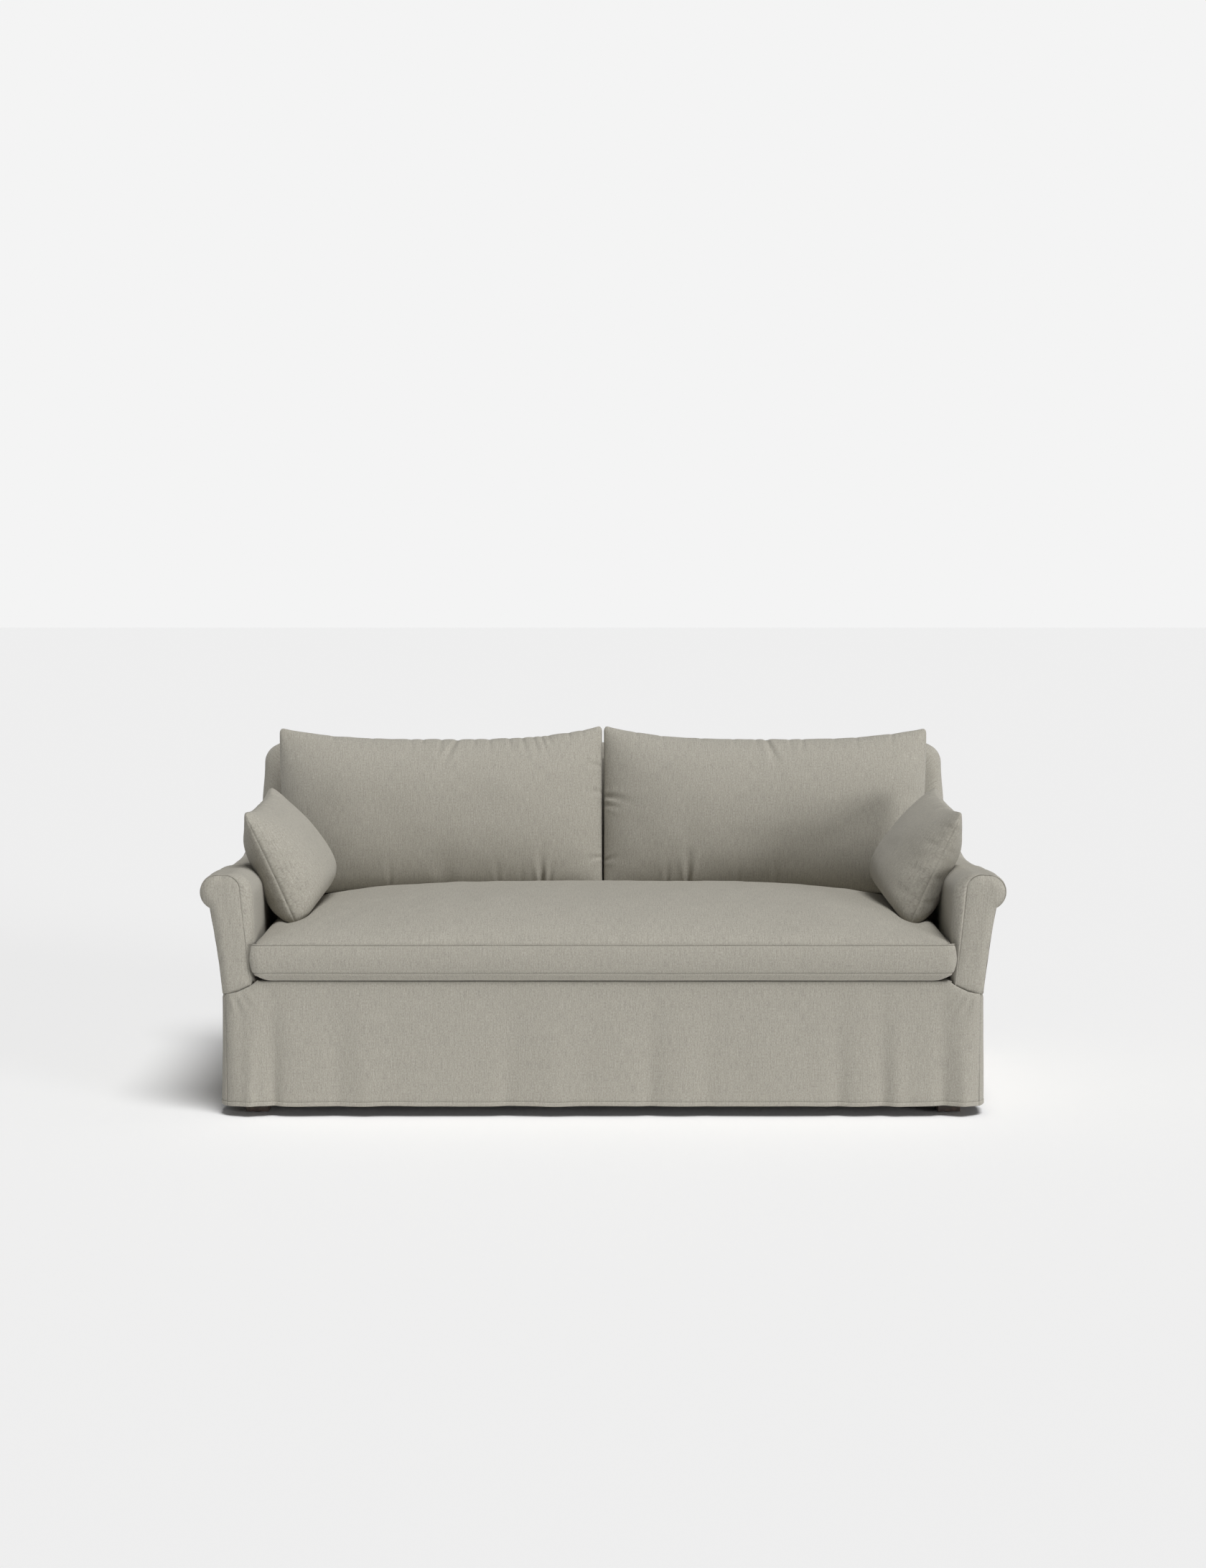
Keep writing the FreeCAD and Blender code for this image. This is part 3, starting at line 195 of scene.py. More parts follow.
def arc_through(a, b, c, count):
    """Points on the circle through three points, without the first."""
    a, b, c = Vector(a), Vector(b), Vector(c)
    ab, ac = b - a, c - a
    turn = 2 * (ab.x * ac.y - ab.y * ac.x)
    u = ab.length_squared
    v = ac.length_squared
    centre = a + Vector((ac.y * u - ab.y * v, ab.x * v - ac.x * u)) / turn
    start = math.atan2(a.y - centre.y, a.x - centre.x)
    end = math.atan2(c.y - centre.y, c.x - centre.x)
    sweep = end - start
    if turn > 0 and sweep < 0:
        sweep += math.tau
    if turn < 0 and sweep > 0:
        sweep -= math.tau
    radius = (a - centre).length
    return [
        centre + radius * Vector((math.cos(start + sweep * i / count), math.sin(start + sweep * i / count)))
        for i in range(1, count + 1)
    ]


def run_to(a, b, count):
    """Evenly spaced points to b, without the first."""
    a, b = Vector(a), Vector(b)
    return [a.lerp(b, i / count) for i in range(1, count + 1)]


def corner_bend(wall, top, count):
    """The rounded corner from a wall going up to a top going across."""
    bow = 1 - math.sqrt(0.5)
    middle = (wall[0] + (top[0] - wall[0]) * bow, top[1] + (wall[1] - top[1]) * bow)
    return arc_through(wall, middle, top, count)


def make_mesh(name, points, faces, uvs):
    """A smooth mesh from its corners, faces and one list of UV pairs for each face."""
    mesh = bpy.data.meshes.new(name)
    mesh.from_pydata([tuple(p) for p in points], [], faces)
    layer = mesh.uv_layers.new(name="Weave")
    for face, pairs in zip(mesh.polygons, uvs):
        for loop, pair in zip(face.loop_indices, pairs):
            layer.data[loop].uv = pair
    mesh.polygons.foreach_set("use_smooth", [True] * len(mesh.polygons))
    mesh.update()
    piece = bpy.data.objects.new(name, mesh)
    bpy.context.scene.collection.objects.link(piece)
    return piece


def strides(points):
    """Length along a run of points, at each of them."""
    total = [0.0]
    for a, b in zip(points, points[1:]):
        total.append(total[-1] + (Vector(b) - Vector(a)).length)
    return total


def squares(rows, columns, start=0):
    """Row, column and four corners of each square in a grid of points."""
    for i in range(rows - 1):
        for j in range(columns - 1):
            at = start + i * columns + j
            yield i, j, (at, at + 1, at + columns + 1, at + columns)


def sheet_piece(name, rows, warp):
    """One layer of cloth from rows of points. Warp gives each row's place along the threads."""
    across = strides(rows[0])
    faces, uvs = [], []
    for i, j, corners in squares(len(rows), len(rows[0])):
        faces.append(corners)
        uvs.append([
            (across[j], warp[i]), (across[j + 1], warp[i]),
            (across[j + 1], warp[i + 1]), (across[j], warp[i + 1]),
        ])
    return make_mesh(name, [p for row in rows for p in row], faces, uvs)


def tube_piece(name, rings):
    """A closed sleeve of cloth over outlines, from one end to the other."""
    count = len(rings[0])
    points = [p for ring in rings for p in ring]
    middle = list(rings[len(rings) // 2])
    around = strides(middle + middle[:1])
    faces, uvs = [], []
    along = 0.0
    for i in range(len(rings) - 1):
        stride = sum((rings[i + 1][j] - rings[i][j]).length for j in range(count)) / count
        for j in range(count):
            k = (j + 1) % count
            faces.append((i * count + j, i * count + k, (i + 1) * count + k, (i + 1) * count + j))
            uvs.append([
                (along, around[j]), (along, around[j + 1]),
                (along + stride, around[j + 1]), (along + stride, around[j]),
            ])
        along += stride
    last = (len(rings) - 1) * count
    for cap in (range(count - 1, -1, -1), range(last, last + count)):
        faces.append(tuple(cap))
        uvs.append([(points[c].x, points[c].z) for c in cap])
    return make_mesh(name, points, faces, uvs)


def rim_places(rows, columns):
    """The places round the edge of a grid, in order."""
    return (
        [(0, j) for j in range(columns)]
        + [(i, columns - 1) for i in range(1, rows)]
        + [(rows - 1, j) for j in range(columns - 2, -1, -1)]
        + [(i, 0) for i in range(rows - 2, 0, -1)]
    )


def rim_of(rows):
    """The points round the edge of a grid, in order."""
    return [rows[i][j] for i, j in rim_places(len(rows), len(rows[0]))]


def stuffed_piece(name, face, rings, back, flat):
    """A closed piece: a front grid of points, rings round its edge, and a back grid.
    Flat turns a point of a grid into its place in the cloth."""
    rows, columns = len(face), len(face[0])
    rim = rim_places(rows, columns)
    points = [p for row in face for p in row]
    ring_start = len(points)
    for ring in rings:
        points.extend(ring)
    back_start = len(points)
    points.extend(p for row in back for p in row)
    faces, uvs = [], []
    for start, way in ((0, 1), (back_start, -1)):
        for i, j, corners in squares(rows, columns, start):
            faces.append(corners[::way])
            uvs.append([flat(points[c]) for c in corners[::way]])
    loops = [[i * columns + j for i, j in rim]]
    loops += [[ring_start + k * len(rim) + n for n in range(len(rim))] for k in range(len(rings))]
    loops.append([back_start + i * columns + j for i, j in rim])
    around = strides([points[i] for i in loops[0] + loops[0][:1]])
    down = 0.0
    for outer, inner in zip(loops, loops[1:]):
        step = (points[outer[0]] - points[inner[0]]).length
        for n in range(len(rim)):
            m = (n + 1) % len(rim)
            faces.append((outer[m], outer[n], inner[n], inner[m]))
            uvs.append([
                (around[n + 1], down), (around[n], down),
                (around[n], down + step), (around[n + 1], down + step),
            ])
        down += step
    return make_mesh(name, points, faces, uvs)


def mirrored(points, side):
    return points if side > 0 else [Vector((-p.x, p.y, p.z)) for p in points]


def outward(piece):
    """Turns all faces to look out, whichever way round the points ran."""
    work = bmesh.new()
    work.from_mesh(piece.data)
    bmesh.ops.recalc_face_normals(work, faces=work.faces)
    work.to_mesh(piece.data)
    work.free()
    return piece


def ripple(place, scale, amount, stretch=(1, 1, 1)):
    """Soft unevenness, the same each run."""
    spot = Vector((place.x / stretch[0], place.y / stretch[1], place.z / stretch[2])) / scale
    return amount * noise.fractal(spot, 1.0, 2.0, 3, noise_basis="PERLIN_ORIGINAL")


# Materials

def add_node(tree, kind, values=(), links=(), stops=(), **attributes):
    """Adds a node with its settings, and links outputs of others into it. Values and links go by an
    input's name or number. Stops are the places and colours of a ramp."""
    node = tree.nodes.new(kind)
    for name, value in attributes.items():
        setattr(node, name, value)
    for name, value in dict(values).items():
        node.inputs[name].default_value = value
    for name, source in dict(links).items():
        tree.links.new(source, node.inputs[name])
    if stops:
        shades = node.color_ramp.elements
        for end, (place, three) in ((shades[0], stops[0]), (shades[1], stops[-1])):
            end.position = place
            end.color = rgba(three)
        for place, three in stops[1:-1]:
            shades.new(place).color = rgba(three)
    return node


def new_material(name, roughness, **values):
    """A material with its surface shader, ready for the patterns that its maker adds."""
    made = bpy.data.materials.new(name)
    made.use_nodes = True
    shader = made.node_tree.nodes["Principled BSDF"]
    shader.inputs["Roughness"].default_value = roughness
    for socket, value in values.items():
        shader.inputs[socket.replace("_", " ")].default_value = value
    return made, made.node_tree, shader


def rgba(three):
    return (*three, 1.0)


def threads(tree, weave, across, along, detail):
    """Long streaks in the cloth: across is their spacing and along their length, in metres."""
    spread = add_node(
        tree, "ShaderNodeMapping", {"Scale": (1 / across, 1 / along, 1)}, {"Vector": weave}
    )
    return add_node(
        tree,
        "ShaderNodeTexNoise",
        {"Scale": 1.0, "Detail": detail, "Roughness": 0.6},
        {"Vector": spread.outputs["Vector"]},
        noise_dimensions="2D",
    ).outputs["Fac"]


def band_scale(spacing):
    """The scale of a wave texture whose bands lie that far apart."""
    return math.tau / 20 / spacing


def mottle(tree, shader, cloud, stops, strength, distance):
    """Lets a soft cloud set both the colour and the relief. Stops are places with hex colours."""
    colours = add_node(
        tree,
        "ShaderNodeValToRGB",
        links={"Fac": cloud},
        stops=[(place, linear(code)) for place, code in stops],
    )
    tree.links.new(colours.outputs["Color"], shader.inputs["Base Color"])
    surface = add_node(
        tree, "ShaderNodeBump", {"Strength": strength, "Distance": distance}, {"Height": cloud}
    )
    tree.links.new(surface.outputs["Normal"], shader.inputs["Normal"])


def woven_linen():
    """Plain-weave washed linen: matt, with long slubs down the warp and shorter ones across it."""
    cloth = settings().linen
    made, tree, shader = new_material(
        "washed_linen", 0.92, Sheen_Weight=0.12, Sheen_Roughness=0.6, Specular_IOR_Level=0.18
    )
    weave = add_node(tree, "ShaderNodeUVMap", uv_map="Weave").outputs["UV"]
    slub, reach, thread = cloth.slub_spacing, cloth.slub_length, cloth.thread_spacing
    warp = threads(tree, weave, slub, reach, detail=3.0)
    weft = threads(tree, weave, reach * 0.3, slub * 0.6, detail=2.0)
    fleck = threads(tree, weave, thread * 1.2, thread * 2.4, detail=2.0)
    stops = (
        (0.3, tuple(cloth.dark_slub)), (0.48, tuple(cloth.cloth)),
        (0.56, tuple(cloth.cloth)), (0.74, tuple(cloth.pale_slub)),
    )
    down, over, speck = (
        add_node(tree, "ShaderNodeValToRGB", links={"Fac": streaks}, stops=stops).outputs["Color"]
        for streaks in (warp, weft, fleck)
    )
    both = add_node(tree, "ShaderNodeMix", {"Factor": 0.15}, {"A": down, "B": over}, data_type="RGBA")
    shade = add_node(
        tree, "ShaderNodeMix", {"Factor": 0.55}, {"A": both.outputs["Result"], "B": speck}, data_type="RGBA"
    )
    tree.links.new(shade.outputs["Result"], shader.inputs["Base Color"])
    # The weave itself: ribs both ways, and the slubs standing a little proud.
    ribs = [
        add_node(
            tree,
            "ShaderNodeTexWave",
            {"Scale": band_scale(thread), "Distortion": 1.2, "Detail": 1.0},
            {"Vector": weave},
            wave_type="BANDS",
            bands_direction=way,
        ).outputs["Fac"]
        for way in ("X", "Y")
    ]
    crossings = add_node(tree, "ShaderNodeMath", links={0: ribs[0], 1: ribs[1]}, operation="MULTIPLY")
    slubs = add_node(tree, "ShaderNodeMath", {1: 0.25}, {0: weft, 2: warp}, operation="MULTIPLY_ADD")
    relief = add_node(
        tree,
        "ShaderNodeMath",
        {1: 0.8},
        {0: slubs.outputs["Value"], 2: crossings.outputs["Value"]},
        operation="MULTIPLY_ADD",
    )
    surface = add_node(
        tree, "ShaderNodeBump", {"Strength": 0.55, "Distance": 0.0006}, {"Height": relief.outputs["Value"]}
    )
    tree.links.new(surface.outputs["Normal"], shader.inputs["Normal"])
    return made


def spun_cambric():
    """Black non-woven dust cloth: dull, faintly mottled where its fibres bunch."""
    made, tree, shader = new_material("black_cambric", 0.95, Specular_IOR_Level=0.15)
    weave = add_node(tree, "ShaderNodeUVMap", uv_map="Weave").outputs["UV"]
    fibres = threads(tree, weave, across=0.004, along=0.004, detail=4.0)
    mottle(tree, shader, fibres, ((0.35, "#121211"), (0.7, "#232321")), strength=0.4, distance=0.0004)
    return made


def sawn_wood(name, early, late, ring_width, roughness, **values):
    """Wood with its rings running along the board, darker late wood and fine pores."""
    made, tree, shader = new_material(name, roughness, **values)
    place = add_node(tree, "ShaderNodeTexCoord").outputs["Object"]
    rings = add_node(
        tree,
        "ShaderNodeTexWave",
        {"Scale": band_scale(ring_width), "Distortion": 9.0, "Detail": 3.0, "Detail Scale": 0.6},
        {"Vector": place},
        wave_type="RINGS",
        rings_direction="X",
    )
    # Pores lie about 1.4 mm apart.
    pores = add_node(tree, "ShaderNodeTexNoise", {"Scale": 700.0, "Detail": 3.0}, {"Vector": place})
    bands = add_node(
        tree,
        "ShaderNodeValToRGB",
        links={"Fac": rings.outputs["Fac"]},
        stops=((0.1, linear(early)), (0.9, linear(late))),
    )
    grain = add_node(
        tree,
        "ShaderNodeMix",
        {"Factor": 0.25},
        {"A": bands.outputs["Color"], "B": pores.outputs["Color"]},
        data_type="RGBA",
        blend_type="MULTIPLY",
    )
    tree.links.new(grain.outputs["Result"], shader.inputs["Base Color"])
    surface = add_node(
        tree, "ShaderNodeBump", {"Strength": 0.3, "Distance": 0.0004}, {"Height": pores.outputs["Fac"]}
    )
    tree.links.new(surface.outputs["Normal"], shader.inputs["Normal"])
    return made


def cloudy(name, roughness, scale, detail, stops, strength, distance, **values):
    """A hard material that a soft noise through the solid varies a little."""
    made, tree, shader = new_material(name, roughness, **values)
    place = add_node(tree, "ShaderNodeTexCoord").outputs["Object"]
    cloud = add_node(tree, "ShaderNodeTexNoise", {"Scale": scale, "Detail": detail}, {"Vector": place})
    mottle(tree, shader, cloud.outputs["Fac"], stops, strength, distance)
    return made


def drawn_steel():
    """Drawn spring steel, with a thin film of oil that dulls it in patches some 17 mm across."""
    return cloudy(
        "spring_steel", 0.35, scale=60.0, detail=4.0, stops=((0.35, "#7C7D7E"), (0.7, "#A3A4A4")),
        strength=0.2, distance=0.0002, Metallic=1.0,
    )


def moulded_nylon():
    """Moulded nylon glide: near black, satin, with faint sink marks of its mould some 8 mm across."""
    return cloudy(
        "moulded_nylon", 0.5, scale=120.0, detail=2.0, stops=((0.3, "#1C1C1C"), (0.7, "#2A2A29")),
        strength=0.15, distance=0.0003, IOR=1.53,
    )


FINISHES = {}


def finish_named(name):
    """The material of that name, made once."""
    makers = {
        "linen": woven_linen,
        "cambric": spun_cambric,
        "hardwood": lambda: sawn_wood("planed_hardwood", "#C9A67C", "#A8845A", 0.004, 0.6),
        "plywood": lambda: sawn_wood("birch_plywood", "#D8BF97", "#C2A477", 0.009, 0.65),
        "foot": lambda: sawn_wood(
            "stained_hardwood", "#4A3C31", "#352A22", 0.003, 0.45, Coat_Weight=0.2, Coat_Roughness=0.4
        ),
        "steel": drawn_steel,
        "nylon": moulded_nylon,
    }
    if name not in FINISHES:
        FINISHES[name] = makers[name]()
    return FINISHES[name]


def dress(piece, body, nodes, finish="linen"):
    """Gives a piece its finish, hangs it on the body that carries it, and hides the solids that it stands
    for.
    """
    piece.data.materials.clear()
    piece.data.materials.append(finish_named(finish))
    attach(piece, body)
    if nodes:
        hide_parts(*nodes)
    return piece


def give_thickness(piece, thick):
    """Turns one layer of cloth into a thin closed one, half to each side."""
    doubled = piece.modifiers.new("Lined", "SOLIDIFY")
    doubled.thickness = thick
    doubled.offset = 0.0
    doubled.use_even_offset = False


# Arms

# How the arm's top climbs to the back: share of the way back, share of the climb.
ARM_RISE_ALONG = ((0.0, 0.0), (0.62, 0.0), (0.7, 0.06), (0.78, 0.27), (0.86, 0.68), (0.93, 0.95), (1.0, 1.0))
FRONT_ROUND = 0.025
ARM_START_Y = FACING_Y + FACING_THICK + FRONT_ROUND
# Steps along an arm's outline: inner wall, shoulder, top, roll, hollow outer wall and foot.
WALL_STEPS, BEND_STEPS, TOP_STEPS, ROLL_STEPS, HOLLOW_STEPS, FOOT_STEPS = 30, 12, 12, 20, 36, 10
# The facing's outline: how far it lies inside the arm's, at its foot, at its shoulder, and its bend.
FACING_BAND = 0.004
FACING_FOOT = 0.008
FACING_INNER = 0.034
FACING_BEND = 0.037
FACING_SWELL = 0.0042


def rise_at(y):
    return between(ARM_RISE_ALONG, (y - ARM_START_Y) / (COVER_END_Y - ARM_START_Y), steady)


def finish_outline(path, radius, roll_from, inset=0.0):
    """Takes an outline on round the roll to its notch, down the hollow outer wall and along the foot."""
    halfway = circle_point(ROLL_AT, radius, (roll_from + NOTCH_DEGREES) / 2)
    path += arc_through(path[-1], halfway, circle_point(ROLL_AT, radius, NOTCH_DEGREES), ROLL_STEPS)
    hollow = (HOLLOW[0] - inset, HOLLOW[1])
    path += arc_through(path[-1], hollow, (HALF_BASE - inset, SEAM_Z), HOLLOW_STEPS)
    path += run_to(path[-1], path[0], FOOT_STEPS)[:-1]
    return path


def arm_section(rise):
    """The right arm's outline: inner wall, shoulder, top, roll, notch and hollow outer wall."""
    top = ARM_TOP + ARM_RISE * rise
    shoulder = SHOULDER + (HALF_BACK - HALF_SEAT - SHOULDER) * rise
    roll_from = 90 - ROLL_CLIMB * math.sqrt(rise)
    path = [Vector((HALF_SEAT, SEAM_Z))]
    path += run_to(path[-1], (HALF_SEAT, top - SHOULDER), WALL_STEPS)
    path += corner_bend(path[-1], (HALF_SEAT + shoulder, top), BEND_STEPS)
    crest = path[-1]
    roll_start = circle_point(ROLL_AT, ROLL, roll_from)
    if rise > 0.02:
        sideways = Vector((roll_start.y - crest.y, crest.x - roll_start.x))
        path += arc_through(crest, (crest + roll_start) / 2 - sideways * 0.09, roll_start, TOP_STEPS)
    else:
        path += run_to(crest, roll_start, TOP_STEPS)
    return finish_outline(path, ROLL, roll_from)


def facing_section(inset=0.0):
    """The scroll outline inside the padded band, with points to match the arm's."""
    top = ARM_TOP - FACING_BAND - inset
    inner = HALF_SEAT + FACING_INNER + inset
    path = [Vector((HALF_SEAT + FACING_FOOT + inset, SEAM_Z))]
    path += run_to(path[-1], (inner, top - FACING_BEND), WALL_STEPS)
    path += corner_bend(path[-1], (inner + FACING_BEND, top), BEND_STEPS)
    path += run_to(path[-1], (ROLL_AT[0], top), TOP_STEPS)
    return finish_outline(path, ROLL - FACING_BAND - inset, 90, inset)


# The arm's padded front edge, from the facing's seam outwards: share of the way out, depth back.
ARM_FRONT_ROLL = (
    (0.0, 0.0020), (0.03, 0.0008), (0.08, 0.0002), (0.18, 0.0003), (0.32, 0.0018), (0.48, 0.0046),
    (0.64, 0.0086), (0.79, 0.0135), (0.9, 0.0185), (0.97, 0.0240), (1.0, 0.0300),
)
# How much further back the front's outer edge lies, where the facing rounds towards the side.
OUTER_DROP = 0.008
# How far the arm's top sags under the pillow: depth back, sag.
ARM_DIP = (
    (0.08, 0.0), (0.25, 0.007), (0.40, 0.017), (0.50, 0.021), (0.68, 0.023), (0.78, 0.017), (0.88, 0.0)
)
# Where the cover is drawn in along the arm, as folds across its top: depth back, depth of fold.
ARM_TUCKS = ((0.07, 0.0012), (0.19, 0.0018), (0.33, 0.0015), (0.47, 0.002))
# The middle of the arm's upper half, which its unevenness stands out from.
ARM_MIDDLE = (0.955, 0.55)


def arm_point(flat_point, y, side):
    """A point of an outline at its depth, with the cover's unevenness."""
    place = Vector((flat_point[0], y, flat_point[1]))
    middle_x, middle_z = ARM_MIDDLE
    soft = ripple(place + Vector((side * 3, 0, 0)), scale=0.09, amount=0.0016, stretch=(1, 1.6, 1.4))
    soft *= fade_in(place.z, start=0.34, run=0.06)
    for depth, fold in ARM_TUCKS:
        soft -= fold * bump(y - FACING_Y - depth, width=0.016) * fade_in(place.z, start=0.5, run=0.08)
    if place.z > 0.5:
        out = (place - Vector((middle_x, y, middle_z))).normalized()
    else:
        out = Vector((1 if place.x > 0.93 else -1, 0, 0))
    return place + out * soft


def make_arm(side, suffix):
    """The arm's cover, from the facing's seam back to the outside back."""
    rings = []
    for blend, back in ARM_FRONT_ROLL:
        ring = []
        for a, b in zip(facing_section(), arm_section(0.0)):
            outer = fade_in(a.x, start=0.932, run=0.02)
            drop = OUTER_DROP * outer * max(1 - back / FRONT_ROUND, 0)
            ring.append(arm_point(a.lerp(b, blend), FACING_Y + back + drop, side))
        rings.append(ring)
    for y in evenly(ARM_START_Y, COVER_END_Y, 120)[1:]:
        dip = between(ARM_DIP, y - FACING_Y)
        rings.append([
            arm_point((p[0], p[1] - dip * fade_in(p[1], start=0.56, run=0.04)), y, side)
            for p in arm_section(rise_at(y))
        ])
    piece = outward(tube_piece("arm_" + suffix, [mirrored(ring, side) for ring in rings]))
    dress(piece, "frame", ["arm_cover_" + suffix, "arm_pad_" + suffix])


# The curved seam between the skirt and the arm's front: place across, height.
SEAM_RISE = ((0.868, 0.350), (0.888, 0.334), (0.921, 0.3185), (0.940, 0.3145), (0.960, 0.3125))


def seam_rise_at(x):
    """Height of the skirt's top: the deck's edge, then the seam under the arm's front."""
    return DECK_Z if abs(x) <= SEAM_RISE[0][0] else between(SEAM_RISE, abs(x), steady)


def edge_at(path, z, outer):
    """Where an outline of rising points crosses a height."""
    for a, b in zip(path, path[1:]):
        low, high = sorted((a[1], b[1]))
        if low <= z <= high and high > low:
            return a[0] + (b[0] - a[0]) * (z - a[1]) / (b[1] - a[1])
    return path[-1][0] if outer else path[0][0]


def make_facing(side, suffix):
    """The padded scroll panel on the arm's front, sunk at its seam."""
    path = facing_section(0.0004)
    split = WALL_STEPS + BEND_STEPS + TOP_STEPS // 2
    inner, outer = path[:split + 1], path[split:1 - FOOT_STEPS]
    top = max(p[1] for p in path)
    heights = [SEAM_Z + (top - SEAM_Z) * math.sin(math.pi / 2 * share) for share in evenly(0, 1, 64)]

    def surface(depth, share):
        rows = []
        for z in heights:
            z_read = min(z, top - 1e-5)
            left = edge_at(inner, z_read, False)
            right = edge_at(list(reversed(outer)), z_read, True)
            row = []
            for x in evenly(left, right, 25):
                spot = Vector((x, z))
                lift = (seam_rise_at(x) - SEAM_Z) * (1 - (z - SEAM_Z) / (top - SEAM_Z)) ** 3
                near = min(min((spot - p).length for p in path), abs(z - SEAM_Z))
                from_outer = min((spot - p).length for p in outer)
                place = Vector((x, depth, z + lift))
                soft = FACING_SWELL * (1 - (1 - min(near / 0.030, 1)) ** 2.5)
                soft += ripple(place, scale=0.07, amount=0.0014, stretch=(1, 1, 2.5)) * smooth(near / 0.03)
                place.y -= share * soft - OUTER_DROP * (1 - min(from_outer / 0.024, 1)) ** 2
                row.append(place)
            rows.append(mirrored(row, side))
        return rows

    face = surface(FACING_Y + 0.0018, 1.0)
    back = surface(FACING_Y + FACING_THICK + 0.004, 0.0)
    piece = outward(stuffed_piece("arm_facing_" + suffix, face, [], back, lambda p: (p.x, p.z)))
    dress(piece, "frame", ["arm_facing_" + suffix])


# Back

def raked_y(z):
    return BACK_FACE_Y + RAKE * (z - DECK_Z)


def back_half_width(z):
    """Half the width of the inside back: narrow between the arms, wide above them, round at the top."""
    if z <= BACK_STEP:
        return HALF_SEAT - 0.002
    if z <= BACK_STEP + STEP_LIP:
        drop = BACK_STEP + STEP_LIP - z
        return HALF_WIDE - STEP_LIP + math.sqrt(max(STEP_LIP ** 2 - drop ** 2, 0))
    if z <= BACK_TOP - BACK_CORNER:
        share = (z - BACK_STEP - STEP_LIP) / (BACK_TOP - BACK_CORNER - BACK_STEP - STEP_LIP)
        return HALF_WIDE + (HALF_BASE - HALF_WIDE) * smooth(share)
    rise = z - (BACK_TOP - BACK_CORNER)
    return HALF_BASE - BACK_CORNER + math.sqrt(max(BACK_CORNER ** 2 - rise ** 2, 0))


def arm_height(x, y):
    """Height of the arm's round top at a place under the back's wide part."""
    rise = rise_at(y)
    reach = SHOULDER + (HALF_BACK - HALF_SEAT - SHOULDER) * rise
    across = min(max((HALF_SEAT + reach - abs(x)) / reach, 0.0), 1.0)
    return ARM_TOP + ARM_RISE * rise - SHOULDER * (1 - math.sqrt(1 - across * across))


def tuck_in(rows, step):
    """Draws the lower edge of the back's wide part, and what joins it, down into the arm's cover."""
    span = 0.12
    widest = max(row[-1].x for row in rows)
    for row in rows:
        for j, p in enumerate(row):
            x = widest * abs(2 * j / (len(row) - 1) - 1)
            target = arm_height(x, p.y) - 0.006 - 0.016 * fade_in(x, start=0.945, run=0.015)
            drop = max(step - target, 0.0) * fade_in(x, start=0.83, run=0.05)
            if p.z > step:
                p.z -= drop * max(step + span - p.z, 0.0) / span
            else:
                p.z -= drop * (p.z - DECK_Z) / (step - DECK_Z)


def back_heights():
    """Heights of the back's rows, closer together at its step and at its round shoulders."""
    lower = evenly(DECK_Z, BACK_STEP, 40)
    lip = evenly(BACK_STEP, BACK_STEP + STEP_LIP, 5)[1:]
    wall = evenly(BACK_STEP + STEP_LIP, BACK_TOP - BACK_CORNER, 14)[1:]
    corner = [BACK_TOP - BACK_CORNER * (1 - math.sin(math.pi / 2 * i / 14)) for i in range(1, 15)]
    return lower + lip + wall + corner


def make_inside_back():
    """The upholstered back: raked face, rolled edges and round shoulders."""
    columns = 140
    rolled = 0.040

    def layer(inset, depth_at):
        shrink = 1 - inset / HALF_BASE
        squash = 1 - inset / (BACK_TOP - DECK_Z)
        rows = []
        for z in back_heights():
            half = back_half_width(z)
            row = []
            for j in range(columns):
                x = half * (2 * j / (columns - 1) - 1)
                place = Vector((x, depth_at(x, z), z))
                place.x *= shrink
                place.z = DECK_Z + (place.z - DECK_Z) * squash
                row.append(place)
            rows.append(row)
        return rows

    def tucked(rows, inset):
        tuck_in(rows, DECK_Z + (BACK_STEP - DECK_Z) * (1 - inset / (BACK_TOP - DECK_Z)))
        return rows

    def puffed(x, z):
        puff = ripple(Vector((x, 0, z)), scale=0.16, amount=0.003) + 0.008 * (1 - (x / HALF_BASE) ** 4)
        return raked_y(z) - max(puff, 0)

    face = tucked(layer(rolled, puffed), rolled)
    rings = []
    for degrees in (15, 30, 45, 60, 75, 90):
        turn = math.radians(degrees)
        inset = rolled * (1 - math.sin(turn))
        deeper = rolled * (1 - math.cos(turn))
        rings.append(rim_of(tucked(layer(inset, lambda x, z: raked_y(z) + deeper), inset)))
    for share in (0.35, 0.7, 0.97):
        rows = layer(0.0, lambda x, z: raked_y(z))
        for row in rows:
            for p in row:
                p.y = p.y + rolled + (COVER_END_Y - p.y - rolled) * share
                p += Vector((p.x / HALF_BASE, 0, 0)) * ripple(p, scale=0.1, amount=0.0012)
        rings.append(rim_of(tucked(rows, 0.0)))
    back = tucked(layer(0.002, lambda x, z: COVER_END_Y), 0.002)
    piece = outward(stuffed_piece("inside_back", face, rings, back, lambda p: (p.x, p.z)))
    dress(piece, "frame", ["back_cover", "back_pad", "back_webbing"])


